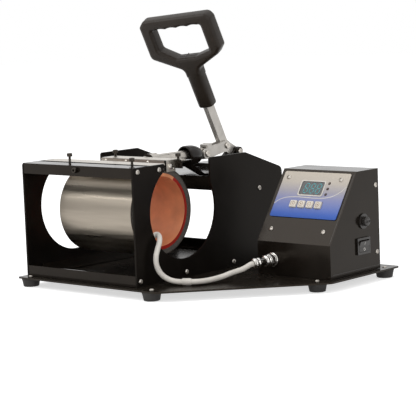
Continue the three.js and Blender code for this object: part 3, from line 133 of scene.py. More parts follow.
# Control box: its sloping front has a frame of its own, from its left edge and its fold
BOX_LEFT = 150
BOX_RIGHT = 257.7
BOX_FRONT = 149
BOX_FOLD = 39.5
BOX_HEIGHT = 120
BOX_SLOPE_REAR = 204.6
slope_angle = math.degrees(math.atan2(BOX_HEIGHT - BOX_FOLD, BOX_SLOPE_REAR - BOX_FRONT))
slope_length = math.hypot(BOX_HEIGHT - BOX_FOLD, BOX_SLOPE_REAR - BOX_FRONT)
SLOPE = PRESS @ shift(BOX_LEFT, BOX_FRONT, BOX_FOLD) @ turn_about("X", slope_angle)


# Camera, fitted to the photograph: its place in the press's frame, and its angles in radians

CAMERA_PLACE = (1425.16, -1394.23, 327.38)
CAMERA_TURN = 0.7192
CAMERA_TILT = -0.1228
CAMERA_ROLL = -0.038
CAMERA_LENS = 147.1


def add_camera():
    data = bpy.data.cameras.new("view")
    data.lens = CAMERA_LENS
    data.sensor_width = 36
    data.clip_end = 50
    forward = Vector((
        -math.sin(CAMERA_TURN) * math.cos(CAMERA_TILT),
        math.cos(CAMERA_TURN) * math.cos(CAMERA_TILT),
        math.sin(CAMERA_TILT),
    ))
    level = Vector((math.cos(CAMERA_TURN), math.sin(CAMERA_TURN), 0))
    up = level.cross(forward)
    right = level * math.cos(CAMERA_ROLL) + up * math.sin(CAMERA_ROLL)
    up = right.cross(forward)
    camera = add_object("view", data)
    camera.matrix_world = Matrix((right, up, -forward)).transposed().to_4x4()
    camera.location = PRESS @ Vector(CAMERA_PLACE)
    bpy.context.scene.camera = camera


add_camera()


# Materials

# Most of a noise texture's values lie between these two
TEXTURE_LOW = 0.3
TEXTURE_HIGH = 0.7


class Paint:
    """A material under construction: its nodes, links and principled shader."""

    def __init__(self, name, color, roughness, metallic=0.0, specular=0.5):
        self.material = bpy.data.materials.new(name)
        self.material.use_nodes = True
        self.nodes = self.material.node_tree.nodes
        self.links = self.material.node_tree.links
        self.shader = self.nodes["Principled BSDF"]
        self.shader.inputs["Base Color"].default_value = (*color, 1)
        self.shader.inputs["Roughness"].default_value = roughness
        self.shader.inputs["Metallic"].default_value = metallic
        self.shader.inputs["Specular IOR Level"].default_value = specular
        self.color = color
        self.roughness = roughness
        self.place = self.node("ShaderNodeTexCoord").outputs["Object"]

    def node(self, kind, **values):
        made = self.nodes.new(kind)
        for key, value in values.items():
            setattr(made, key, value)
        return made

    def link(self, source, node, socket):
        self.links.new(source, node.inputs[socket])

    def noise(self, scale, detail, stretch=(1, 1, 1)):
        mapping = self.node("ShaderNodeMapping")
        self.link(self.place, mapping, "Vector")
        mapping.inputs["Scale"].default_value = stretch
        texture = self.node("ShaderNodeTexNoise")
        self.link(mapping.outputs["Vector"], texture, "Vector")
        texture.inputs["Scale"].default_value = scale
        texture.inputs["Detail"].default_value = detail
        return texture.outputs["Fac"]

    def mapped(self, value, start, end, low=0, high=1):
        """A value that goes from low to high as another goes from start to end."""
        ranged = self.node("ShaderNodeMapRange")
        self.link(value, ranged, "Value")
        for socket, number in (("From Min", start), ("From Max", end), ("To Min", low), ("To Max", high)):
            ranged.inputs[socket].default_value = number
        return ranged.outputs["Result"]

    def between(self, texture, low, high):
        """A value that goes from low to high over the middle of a texture's range."""
        return self.mapped(texture, TEXTURE_LOW, TEXTURE_HIGH, low, high)

    def shade_by(self, factor, low, high):
        """Colour times low where the factor is 0, and times high where it is 1."""
        mix = self.node("ShaderNodeMix", data_type="RGBA")
        self.link(factor, mix, "Factor")
        mix.inputs["A"].default_value = (*(c * low for c in self.color), 1)
        mix.inputs["B"].default_value = (*(c * high for c in self.color), 1)
        self.link(mix.outputs["Result"], self.shader, "Base Color")

    def vary_color(self, texture, low, high):
        self.shade_by(self.between(texture, 0, 1), low, high)

    def vary_roughness(self, texture, spread):
        varied = self.between(texture, self.roughness - spread, self.roughness + spread)
        self.link(varied, self.shader, "Roughness")

    def paint_front_shade(self, share):
        """Painted shade: faces that look to the front, such as the cut edges, are darker than the sheet's
        faces.
        """
        split = self.node("ShaderNodeSeparateXYZ")
        self.link(self.node("ShaderNodeTexCoord").outputs["Normal"], split, "Vector")
        self.shade_by(self.mapped(split.outputs["Y"], -0.8, -0.6), share, 1)

    def bump(self, texture, height, strength):
        """Relief of this height in millimetres."""
        relief = self.node("ShaderNodeBump")
        relief.inputs["Strength"].default_value = strength
        relief.inputs["Distance"].default_value = height / 1000
        self.link(texture, relief, "Height")
        self.link(relief.outputs["Normal"], self.shader, "Normal")


def powder_coat(name, color, roughness, specular, relief):
    """Black powder paint with a fine orange peel, which reflects slightly warm."""
    paint = Paint(name, color, roughness, specular=specular)
    paint.shader.inputs["Specular Tint"].default_value = (1, 0.86, 0.72, 1)
    cloud = paint.noise(35, 4)
    paint.vary_color(cloud, 0.8, 1.25)
    paint.vary_roughness(cloud, 0.04)
    paint.bump(paint.noise(1400, 2), 0.04, relief)
    return paint.material


def metal(name, color, roughness, spread, grain, stretch=(1, 1, 1), height=0.01, metallic=1.0):
    """Bare or plated metal, with a grain that a stretch draws out into brush marks."""
    paint = Paint(name, color, roughness, metallic)
    streaks = paint.noise(grain, 3, stretch)
    paint.vary_color(paint.noise(60, 3, stretch), 0.86, 1.12)
    paint.vary_roughness(streaks, spread)
    paint.bump(streaks, height, 0.3)
    return paint.material


def strip_metal(name, color, roughness):
    """Plated strip, with painted shade on its cut edges that face the front."""
    paint = Paint(name, color, roughness, 1.0)
    grain = paint.noise(300, 3)
    paint.vary_roughness(grain, 0.08)
    # Painted shade on the faces that look to the front
    paint.paint_front_shade(0.06)
    paint.bump(grain, 0.01, 0.3)
    return paint.material


def moulded(name, color, roughness, grain, height, spread=0.04, specular=0.5):
    """Plastic, rubber or print, with a fine grain of this height in millimetres."""
    paint = Paint(name, color, roughness, specular=specular)
    paint.vary_color(paint.noise(45, 3), 0.88, 1.14)
    paint.vary_roughness(paint.noise(120, 3), spread)
    paint.bump(paint.noise(grain, 2), height, 0.3)
    return paint.material


def cellular(name, color, roughness, cells, height):
    """Open foam: small round cells, with painted shade in their darker pits."""
    paint = Paint(name, color, roughness)
    texture = paint.node("ShaderNodeTexVoronoi")
    paint.link(paint.place, texture, "Vector")
    texture.inputs["Scale"].default_value = cells
    # Painted shade: darker towards each cell's pit, where the bump is lowest
    paint.vary_color(texture.outputs["Distance"], 0.7, 1.15)
    paint.bump(texture.outputs["Distance"], height, 0.6)
    return paint.material


def woven(name, color, roughness, threads, height):
    """A fine sleeve or mat weave: two crossing sets of ridges with a soft mottle."""
    paint = Paint(name, color, roughness)
    ridges = []
    for direction in ("X", "Z"):
        wave = paint.node("ShaderNodeTexWave", bands_direction=direction)
        paint.link(paint.place, wave, "Vector")
        wave.inputs["Scale"].default_value = threads
        wave.inputs["Distortion"].default_value = 1.5
        ridges.append(wave.outputs["Fac"])
    weave = paint.node("ShaderNodeMath", operation="MULTIPLY")
    paint.links.new(ridges[0], weave.inputs[0])
    paint.links.new(ridges[1], weave.inputs[1])
    paint.vary_color(paint.noise(55, 5), 0.86, 1.12)
    paint.bump(weave.outputs["Value"], height, 0.4)
    return paint.material


def slope_gradient(name, stops, roughness):
    """A colour that fades up the sloping front. Stops are pairs of height on the slope in mm and colour."""
    paint = Paint(name, stops[0][1], roughness, specular=0.15)
    upward = (SLOPE.to_3x3() @ Vector((0, 1, 0))).normalized()
    foot = SLOPE.translation.dot(upward)
    dot = paint.node("ShaderNodeVectorMath", operation="DOT_PRODUCT")
    paint.links.new(paint.place, dot.inputs[0])
    dot.inputs[1].default_value = upward
    lowest, highest = stops[0][0], stops[-1][0]
    ramp = paint.node("ShaderNodeValToRGB")
    share = paint.mapped(dot.outputs["Value"], foot + lowest / 1000, foot + highest / 1000)
    paint.link(share, ramp, "Fac")
    for i, (height, color) in enumerate(stops):
        place = (height - lowest) / (highest - lowest)
        if i < 2:
            ramp.color_ramp.elements[i].position = place
        else:
            ramp.color_ramp.elements.new(place)
        ramp.color_ramp.elements[i].color = (*color, 1)
    speckle = paint.node("ShaderNodeMix", data_type="RGBA", blend_type="MULTIPLY")
    speckle.inputs["Factor"].default_value = 0.25
    paint.link(ramp.outputs["Color"], speckle, "A")
    shade = paint.node("ShaderNodeCombineColor")
    for channel in ("Red", "Green", "Blue"):
        paint.link(paint.between(paint.noise(700, 2), 0.7, 1), shade, channel)
    paint.link(shade.outputs["Color"], speckle, "B")
    paint.link(speckle.outputs["Result"], paint.shader, "Base Color")
    return paint.material


def glowing(name, color, strength):
    """A display's bars, which give a little light of their own."""
    paint = Paint(name, color, 0.3)
    paint.vary_color(paint.noise(400, 2), 0.85, 1.1)
    paint.shader.inputs["Emission Color"].default_value = (*color, 1)
    paint.shader.inputs["Emission Strength"].default_value = strength
    return paint.material


bar_coat = powder_coat("bar_coat", (0.011, 0.0085, 0.0065), 0.13, 0.14, 0.05)
base_coat = powder_coat("base_coat", (0.012, 0.0095, 0.0072), 0.24, 0.2, 0.1)
plate_coat = powder_coat("plate_coat", (0.0055, 0.0043, 0.0035), 0.36, 0.09, 0.15)
deck_coat = powder_coat("deck_coat", (0.006, 0.0047, 0.0038), 0.12, 0.2, 0.05)
box_coat = powder_coat("box_coat", (0.0095, 0.0072, 0.0055), 0.16, 0.18, 0.06)
zinc = metal("zinc", (0.6, 0.56, 0.5), 0.33, 0.08, 300)
strip_zinc = strip_metal("strip_zinc", (0.54, 0.5, 0.44), 0.33)
chrome = metal("chrome", (0.6, 0.58, 0.55), 0.16, 0.05, 500)
dull_chrome = metal("dull_chrome", (0.46, 0.43, 0.39), 0.3, 0.04, 500, height=0.003)
satin_steel = metal("satin_steel", (0.5, 0.475, 0.44), 0.36, 0.04, 400, height=0.003, metallic=0.55)
tab_steel = metal("tab_steel", (0.4, 0.36, 0.31), 0.4, 0.06, 300, height=0.004, metallic=0.7)
shell_edge = metal("shell_edge", (0.12, 0.1, 0.08), 0.4, 0.06, 400)
brushed = metal("brushed", (0.29, 0.255, 0.21), 0.36, 0.1, 260, (0.06, 1, 1), 0.02)
black_oxide = metal("black_oxide", (0.05, 0.043, 0.036), 0.38, 0.06, 400)
knob_plastic = moulded("knob_plastic", (0.011, 0.008, 0.0058), 0.18, 300, 0.01, specular=0.22)
grip_plastic = moulded("grip_plastic", (0.022, 0.016, 0.0115), 0.38, 1100, 0.05, specular=0.22)
part_plastic = moulded("part_plastic", (0.016, 0.013, 0.011), 0.35, 900, 0.03)
rubber = moulded("rubber", (0.014, 0.012, 0.0105), 0.72, 500, 0.12, 0.08)
sponge = cellular("sponge", (0.1, 0.088, 0.076), 0.9, 900, 0.25)
copper_mat = woven("copper_mat", (0.72, 0.285, 0.135), 0.5, 330, 0.05)
red_edge = moulded("red_edge", (0.36, 0.014, 0.007), 0.45, 500, 0.05)
white_sleeve = woven("white_sleeve", (0.74, 0.7, 0.64), 0.62, 420, 0.08)
label_print = slope_gradient("label_print", [
    (32.5, (0.03, 0.1, 0.42)),
    (38, (0.055, 0.13, 0.48)),
    (46, (0.14, 0.2, 0.5)),
    (58, (0.26, 0.28, 0.48)),
    (69, (0.4, 0.38, 0.42)),
    (80, (0.55, 0.5, 0.44)),
    (94, (0.6, 0.54, 0.46)),
], 0.38)
pale_print = moulded("pale_print", (0.6, 0.57, 0.52), 0.4, 500, 0.01)
window_dark = moulded("window_dark", (0.012, 0.012, 0.014), 0.12, 300, 0.01)
digit_teal = glowing("digit_teal", (0.01, 0.2, 0.22), 0.35)
key_white = moulded("key_white", (0.68, 0.63, 0.55), 0.45, 500, 0.02)
key_mark = moulded("key_mark", (0.3, 0.19, 0.12), 0.5, 500, 0.01)
lamp_lens = moulded("lamp_lens", (0.045, 0.018, 0.012), 0.2, 300, 0.01)
mark_white = moulded("mark_white", (0.7, 0.68, 0.64), 0.5, 500, 0.01)
board_green = moulded("board_green", (0.02, 0.11, 0.04), 0.45, 300, 0.05)
iron = metal("iron", (0.2, 0.19, 0.18), 0.5, 0.08, 500, (1, 1, 8), 0.08)
terminal_white = moulded("terminal_white", (0.62, 0.57, 0.5), 0.5, 500, 0.03)

node_looks = {
    bar_coat: ["front_top_bar", "front_bottom_bar", "rear_bottom_bar"],
    base_coat: ["base_plate", "rail_left", "rail_right"],
    plate_coat: ["side_plate_left", "side_plate_right"],
    deck_coat: ["toggle_deck", "rear_clamp_bar", "toggle_bracket"],
    box_coat: ["control_cover", "control_rear_panel"],
    strip_zinc: ["front_clamp_strip", "rear_clamp_strip"],
    satin_steel: ["toggle_link", "lever_bar"],
    part_plastic: ["rocker_frame", "power_inlet", "rocker_paddle", "fuse_holder"],
    board_green: ["circuit_board"],
    iron: ["transformer"],
    terminal_white: ["heater_terminal"],
}


def dress(node, material):
    for slot in nodes[node].material_slots:
        slot.link = "OBJECT"
        slot.material = material


for look, names in node_looks.items():
    for node in names:
        dress(node, look)


# Mesh helpers

SHARP_ANGLE = 38


def finish_piece(mesh, name, body, looks, replaces=()):
    """Makes one piece of a bmesh whose points are already in metres."""
    bmesh.ops.recalc_face_normals(mesh, faces=mesh.faces)
    data = bpy.data.meshes.new(name)
    mesh.to_mesh(data)
    mesh.free()
    for look in looks:
        data.materials.append(look)
    piece = add_object(name, data)
    data.shade_smooth()
    data.set_sharp_from_angle(angle=math.radians(SHARP_ANGLE))
    if body:
        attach(piece, body)
    if replaces:
        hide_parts(*replaces)
    return piece


def ring_of(mesh, place, radius, height, sides):
    points = []
    for i in range(sides):
        angle = 2 * math.pi * i / sides
        r = radius(angle) if callable(radius) else radius
        z = height(angle) if callable(height) else height
        points.append(mesh.verts.new(place @ Vector((r * math.cos(angle), r * math.sin(angle), z))))
    return points


def bridge(mesh, first, second):
    count = len(first)
    for i in range(count):
        j = (i + 1) % count
        mesh.faces.new((first[i], first[j], second[j], second[i]))


def turned(mesh, place, rings, sides, capped=True):
    """A turned body about local Z. Each ring is a radius and a height, and both can depend on the angle.

    A body that isn't capped has a bore: its last ring is joined to its first.
    """
    loops = [ring_of(mesh, place, radius, height, sides) for radius, height in rings]
    for first, second in zip(loops, loops[1:]):
        bridge(mesh, first, second)
    if capped:
        mesh.faces.new(loops[0])
        mesh.faces.new(loops[-1])
    else:
        bridge(mesh, loops[-1], loops[0])


def hexagon(across_flats):
    """Radius of a hexagon at an angle."""
    def radius(angle):
        sector = (angle + math.pi / 6) % (math.pi / 3) - math.pi / 6
        return across_flats / 2 / math.cos(sector)
    return radius


def ribbed(radius, depth, count):
    """Radius of a ribbed grip at an angle."""
    return lambda angle: radius - depth * (0.5 - 0.5 * math.cos(count * angle)) ** 2


def rounded(corners, steps=6):
    """Outline through corners, each (x, y, radius), as a list of points."""
    points = []
    count = len(corners)
    for i, (x, y, radius) in enumerate(corners):
        corner = Vector((x, y))
        if radius == 0:
            points.append(corner)
            continue
        before = Vector(corners[i - 1][:2]) - corner
        after = Vector(corners[(i + 1) % count][:2]) - corner
        half = before.angle(after) / 2
        reach = min(radius / math.tan(half), 0.49 * before.length, 0.49 * after.length)
        start = corner + before.normalized() * reach
        end = corner + after.normalized() * reach
        for k in range(steps + 1):
            t = k / steps
            points.append(start * (1 - t) ** 2 + corner * 2 * t * (1 - t) + end * t**2)
    return points


def box_outline(x0, x1, y0, y1, radius):
    return rounded([(x0, y0, radius), (x1, y0, radius), (x1, y1, radius), (x0, y1, radius)])


def inset(bounds, by):
    x0, x1, y0, y1 = bounds
    return x0 + by, x1 - by, y0 + by, y1 - by


def circle(x, y, radius, count):
    angles = [2 * math.pi * i / count for i in range(count)]
    return [Vector((x + radius * math.cos(a), y + radius * math.sin(a))) for a in angles]


def add_spline(curve, points, closed):
    spline = curve.splines.new("POLY")
    spline.points.add(len(points) - 1)
    for point, place in zip(spline.points, points):
        point.co = (*place, 1)
    spline.use_cyclic_u = closed


def plate(mesh, place, outlines, low, high, edge=0.0):
    """A flat plate between two heights. The first outline is its edge, and any others are holes."""
    data = bpy.data.curves.new("plate", "CURVE")
    data.dimensions = "2D"
    data.fill_mode = "BOTH"
    data.extrude = (high - low) / 2 - edge
    data.bevel_depth = edge
    data.offset = -edge
    data.bevel_resolution = 3
    for outline in outlines:
        add_spline(data, [(x, y, 0) for x, y in outline], True)
    holder = add_object("plate", data)
    shape = bpy.data.meshes.new_from_object(holder)
    bpy.data.objects.remove(holder)
    shape.transform(place @ shift(0, 0, (high + low) / 2))
    mesh.from_mesh(shape)
    bpy.data.meshes.remove(shape)


# Heater lead: its points are those of the frame's solid, from the heater's end to the plug

LEAD_RADIUS = 3.15
SOCKET_X = 173.4
SOCKET_Z = 18.2
LEAD_POINTS = [
    (67.85, 47, 50), (72.55, 47, 50), (84, 41.2, 55.2), (90, 38.2, 57.2), (94.6, 36.1, 57),
    (98.6, 33.5, 54.3), (100.9, 30.4, 49.3), (101.4, 26.2, 41.6), (101.4, 23.2, 33.6), (102.4, 23, 23.4),
    (106, 26.2, 13.4), (113.8, 31.3, 6.8), (124, 35.2, 4.7), (132.5, 39.5, 4.7), (141.5, 44.5, 4.7),
    (147, 53.6, 4.7), (150.5, 66, 5.2), (154, 78, 6.7), (158.4, 86.4, 9.2), (163.7, 91.6, 11.5),
    (168.6, 96.2, 13.4), (171.6, 100.6, 15.6), (173, 104, 17.3), (SOCKET_X, 107.2, SOCKET_Z),
    (SOCKET_X, 110.1, SOCKET_Z),
]
LEAD_STEPS = 8


def smooth_route(points, steps):
    """A curve through points, with its knots spaced by the square root of the distances between them."""
    route = [Vector(p) for p in points]
    route = [route[0] * 2 - route[1], *route, route[-1] * 2 - route[-2]]
    smooth = []
    for a, b, c, d in zip(route, route[1:], route[2:], route[3:]):
        first, second, third = ((q - p).length ** 0.5 for p, q in ((a, b), (b, c), (c, d)))
        for k in range(steps):
            t = first + second * k / steps
            one = a * (first - t) / first + b * t / first
            two = b * (first + second - t) / second + c * (t - first) / second
            rest = first + second + third
            three = c * (rest - t) / third + d * (t - first - second) / third
            left = one * (first + second - t) / (first + second) + two * t / (first + second)
            right = two * (rest - t) / (second + third) + three * (t - first) / (second + third)
            smooth.append(left * (first + second - t) / second + right * (t - first) / second)
    smooth.append(route[-2])
    return smooth


def lead_piece():
    data = bpy.data.curves.new("lead_sleeving", "CURVE")
    data.dimensions = "3D"
    data.bevel_depth = LEAD_RADIUS / 1000
    data.bevel_resolution = 6
    data.use_fill_caps = True
    route = [PRESS @ p for p in smooth_route(LEAD_POINTS, LEAD_STEPS)]
    add_spline(data, route, False)
    data.materials.append(white_sleeve)
    piece = add_object("lead_sleeving", data)
    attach(piece, "press")
    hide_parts("heater_lead")
    length = sum((b - a).length for a, b in zip(route, route[1:]))
    return piece, route, length


lead, lead_route, lead_length = lead_piece()


def splice_sleeve():
    """A slightly wider sleeve over the lowest stretch of the lead."""
    middle = middle_of("lead_sleeve")
    nearest = min(range(1, len(lead_route) - 1), key=lambda i: (lead_route[i] - middle).length)
    along = (lead_route[nearest + 1] - lead_route[nearest - 1]).normalized()
    place = millimetres_from(middle) @ along.to_track_quat("Z", "Y").to_matrix().to_4x4()
    end = [(4.05, 4.5), (3.8, 5.2), (3.3, 5.4)]
    rings = [(radius, -z) for radius, z in reversed(end)] + end
    mesh = bmesh.new()
    turned(mesh, place, rings, 32, False)
    return finish_piece(mesh, "splice_sleeve", "press", [white_sleeve], ["lead_sleeve"])


def socket_frame():
    return PRESS @ shift(SOCKET_X, 0, SOCKET_Z) @ ALONG_Y


def plug_pieces():
    """The plug on the lead's end: a ribbed ring, a stepped barrel and a tapering cable clamp."""
    first, last = span_of("lead_plug", 1)
    mesh = bmesh.new()
    grip = ribbed(6.15, 0.45, 18)
    turned(mesh, socket_frame(), [
        (3.3, first), (4.3, first), (4.6, first + 0.4), (4.6, first + 1.8), (5.6, first + 2.5),
        (grip, first + 3.1), (grip, first + 5.9), (5.6, first + 6.4), (5.2, first + 7), (5.6, first + 7.6),
        (6.1, first + 8.2), (6.2, first + 8.8), (6.2, first + 10.6), (6, first + 11.3), (4.7, first + 12.4),
        (4.7, last - 4), (6.6, last - 3), (6.8, last - 2.6), (6.8, last - 0.4), (6.5, last), (3.3, last),
    ], 96, False)
    body = finish_piece(mesh, "plug_barrel", "press", [chrome], ["lead_plug"])
    front, rear = span_of("plug_nut", 1)
    mesh = bmesh.new()
    knurl = ribbed(7.55, 0.45, 30)
    turned(mesh, socket_frame(), [
        (5.4, front), (6.3, front), (7, front + 0.7), (7.1, front + 2), (knurl, front + 2.4),
        (knurl, rear - 2.2), (7, rear - 1.9), (7, rear - 1.2), (7.4, rear - 0.9), (7.4, rear - 0.2),
        (7.1, rear), (5.4, rear),
    ], 120, False)
    ring = finish_piece(mesh, "plug_ring", "press", [chrome], ["plug_nut"])
    return [body, ring]


plug = plug_pieces()
splice = splice_sleeve()


# Fasteners

def cross_head(mesh, place, radius, height):
    """A domed screw head with a cross recess, standing on local Z = 0."""
    arm = 0.16 * radius
    reach = 0.56 * radius
    depth = 0.45 * height

    def dome(r):
        def level(angle):
            x, y = r * math.cos(angle), r * math.sin(angle)
            inside = r < reach and (abs(x) < arm or abs(y) < arm)
            return height * math.sqrt(1 - (0.93 * r / radius) ** 2) - (depth if inside else 0)
        return level

    levels = [(radius, 0), (radius, 0.12 * height)]
    for share in (0.92, 0.78, 0.62, 0.54, 0.4, 0.28, 0.2, 0.1, 0.03):
        levels.append((share * radius, dome(share * radius)))
    turned(mesh, place, levels, 40)


def screws(name, places, radius, height):
    mesh = bmesh.new()
    for place in places:
        cross_head(mesh, place, radius, height)
    finish_piece(mesh, name, "press", [dull_chrome])


def on_side(y, z, side=1):
    return PRESS @ shift(side * PLATE_OUTER, y, z) @ turn_about("Y", 90 * side) @ turn_about("Z", 20)


PLATE_SCREWS = [(8.2, 132.9), (44.6, 132), (5.9, 6.4), (85.8, 6.4), (172.4, 6.4), (226.4, 91.5)]
for hand, side in (("right", 1), ("left", -1)):
    places = [on_side(y, z, side) for y, z in PLATE_SCREWS]
    screws(f"{hand}_plate_screws", places, 3, 1.7)


def plate_dimple():
    """A small blind rivet in the right plate beside the front strip's screw."""
    mesh = bmesh.new()
    turned(mesh, on_side(52, 131.9), [(1.3, 0), (1.3, 0.3), (1, 0.5), (0.4, 0.5), (0.3, 0.2)], 24)
    finish_piece(mesh, "plate_dimple", "press", [black_oxide])


plate_dimple()

FEET = ("foot_front_left", "foot_front_middle", "foot_front_right", "foot_rear_right", "foot_rear_left")
screws("foot_screws", [upright_at(foot, base_top) for foot in FEET], 2.8, 1.3)


def foot_piece(node):
    """A rubber foot that widens upwards, with a hollow in its top round the screw."""
    mesh = bmesh.new()
    turned(mesh, upright_at(node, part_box(node)[0][2]), [
        (3.5, 0), (8.8, 0), (9.4, 0.3), (9.65, 1), (10.2, 4), (10.9, 7.4), (11.35, 8.4), (11.5, 9),
        (11.5, 9.9), (3.5, 9.9), (3.5, 3), (1, 3), (1, 9.9),
    ], 64)
    finish_piece(mesh, f"{node}_pad", "press", [rubber], [node])


for foot in FEET:
    foot_piece(foot)


def socket_screw(name, node, body, place, head_top, tip):
    """A knurled cap screw with a hexagon socket, upright on local Z."""
    neck = head_top - 4
    stem = 1.65
    pitch = 0.8
    knurl = ribbed(3.3, 0.16, 24)
    rings = [(1.2, tip), (stem, tip + 0.5)]
    for i in range(int((neck - tip - 1) / pitch)):
        z = tip + 0.7 + pitch * i
        rings += [(stem, z), (1.4, z + pitch / 2)]
    rings += [
        (stem, neck - 0.1), (3, neck), (3.25, neck + 0.25), (knurl, neck + 0.5), (knurl, head_top - 0.8),
        (3.2, head_top - 0.5), (2.9, head_top - 0.05), (2.7, head_top), (hexagon(2.9), head_top),
        (hexagon(2.8), head_top - 2), (0.2, head_top - 2.1),
    ]
    mesh = bmesh.new()
    turned(mesh, place, rings, 72)
    finish_piece(mesh, name, body, [black_oxide], [node])


def upright_screw(name, node, body):
    tip, head_top = span_of(node, 2)
    socket_screw(name, node, body, upright_at(node, base_top), head_top, tip)


for side in ("left", "right"):
    upright_screw(f"front_{side}_cap_screw", f"clamp_screw_front_{side}", "press")
    upright_screw(f"rear_{side}_cap_screw", f"clamp_screw_rear_{side}", "slider")


def front_screw():
    front, rear = span_of("front_bar_screw", 1)
    place = millimetres_from((origin.x, origin.y, middle_of("front_bar_screw").z)) @ turn_about("X", 90)
    socket_screw("front_cap_screw", "front_bar_screw", "press", place, -front, -rear)


front_screw()


# Heater: shell, sponge and mat, each split at the bottom into a front half and a rear half

HEATER_Y = 81
HEATER_Z = 77.4
HEATER_HALF = 59.25
SHELL_RADIUS = 53.2
SPONGE_RADIUS = 51.9
MAT_RADIUS = 45.7
BORE_RADIUS = 41.7
FRONT_ANGLE = 334.6
REAR_ANGLE = 9.6
BOTTOM_ANGLE = 180
EDGE_ANGLE = 31.8
FRONT_TAB_TOP = 137.7
REAR_TAB_TOP = 137.3


def ring_point(radius, degrees):
    angle = math.radians(degrees)
    return Vector((HEATER_Y + radius * math.sin(angle), HEATER_Z + radius * math.cos(angle)))


def bent_sheet(mesh, pairs, left, right, edge_looks):
    """A sheet between two lines in Y and Z, swept from left to right, with an edge look for each stretch."""
    rows = []
    for out, into in pairs:
        rows.append([
            mesh.verts.new(PRESS @ Vector((x, p.x, p.y)))
            for x, p in ((left, out), (right, out), (right, into), (left, into))
        ])
    for first, second, edge in zip(rows, rows[1:], edge_looks):
        for k, look in enumerate((0, edge, 0, edge)):
            j = (k + 1) % 4
            mesh.faces.new((first[k], first[j], second[j], second[k])).material_index = look
    mesh.faces.new(rows[0]).material_index = edge_looks[0]
    mesh.faces.new(rows[-1]).material_index = edge_looks[-1]


def ring_half(name, node, outer, inner, start, end, looks, tab=None):
    """Half of an open ring along X. A tab is its left end and the two points of its top.

    The second look is that of the ends, and starts at EDGE_ANGLE. The third is the tab's.
    """
    steps = 60
    edge_look = 1 if len(looks) > 1 else 0
    pairs = []
    edge_looks = []
    for i in range(steps + 1):
        degrees = start + (end - start) * i / steps
        pairs.append((ring_point(outer, degrees), ring_point(inner, degrees)))
        edge_looks.append(edge_look if degrees > EDGE_ANGLE else 0)
    mesh = bmesh.new()
    half = HEATER_HALF - 0.1
    bent_sheet(mesh, pairs, -half, half, edge_looks[1:])
    if tab:
        before = set(mesh.faces)
        bent_sheet(mesh, [pairs[-1], tab[1:]], tab[0], half, [2])
        for face in set(mesh.faces) - before:
            face.material_index = 2
    rear = start < BOTTOM_ANGLE
    piece = finish_piece(mesh, name, None if rear else "press", looks, [node])
    if rear:
        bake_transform(piece)


front_tab_y = ring_point(SHELL_RADIUS, FRONT_ANGLE).x
rear_tab_y = ring_point(SHELL_RADIUS, REAR_ANGLE).x
front_tab = (-59.15, Vector((front_tab_y, FRONT_TAB_TOP)), Vector((front_tab_y + 1, FRONT_TAB_TOP)))
rear_tab = (-45, Vector((rear_tab_y, REAR_TAB_TOP)), Vector((rear_tab_y - 1, REAR_TAB_TOP)))
rings = [
    ("shell", "heater_shell", SHELL_RADIUS, SHELL_RADIUS - 1, [brushed, shell_edge, tab_steel], "steel"),
    ("sponge", "heater_sponge", SPONGE_RADIUS, MAT_RADIUS + 0.3, [sponge], "sponge"),
    ("mat", "heater_mat", MAT_RADIUS, BORE_RADIUS, [copper_mat, red_edge], "silicone"),
]
for name, node, outer, inner, looks, slot in rings:
    tabs = (front_tab, rear_tab) if name == "shell" else (None, None)
    ring_half(f"{name}_front", node, outer, inner, BOTTOM_ANGLE, FRONT_ANGLE, looks, tabs[0])
    ring_half(f"{name}_rear", node, outer, inner, BOTTOM_ANGLE - 0.01, REAR_ANGLE, looks, tabs[1])


def tab_rivets():
    """Rivets that hold the shell's rear tab to the rear strip."""
    mesh = bmesh.new()
    for x in (-37, -3, 33):
        place = PRESS @ shift(x, rear_tab_y - 1, REAR_TAB_TOP - 2.7) @ turn_about("X", 90)
        turned(mesh, place, [(1.9, 0), (1.9, 0.2), (1.5, 0.7), (0.8, 0.9), (0.1, 0.95)], 28)
    finish_piece(mesh, "tab_rivets", "slider", [zinc])


tab_rivets()


END_TAB_X = 62


def end_tab_bolt():
    """The bolt and the pin on the rear strip's end tab."""
    mesh = bmesh.new()
    bolt = PRESS @ shift(END_TAB_X, 97.5, 129.5) @ ALONG_X
    turned(mesh, bolt, [(hexagon(6.2), 0), (hexagon(6.2), 1.6), (2.9, 2), (0.3, 2.05)], 48)
    pin = PRESS @ shift(END_TAB_X, 103.5, 127) @ ALONG_X
    turned(mesh, pin, [(1.2, 0), (1.2, 0.4), (0.9, 0.6), (0.1, 0.6)], 24)
    finish_piece(mesh, "end_tab_bolt", "slider", [chrome])


end_tab_bolt()


# Push rod, nuts, knob and pins

ROD_RADIUS = 7.4
STUD_RADIUS = 4.5
TAIL_RADIUS = 4
TONGUE_HALF = 3
CLAMP_BAR_REAR = 125.36
KNOB_RADIUS = 13
bar_face = CLAMP_BAR_REAR - eye.y
stud_front = bar_face - 11
rod_front = bar_face + 15.3
knob_rear = -8.5
knob_front = knob_rear - 29


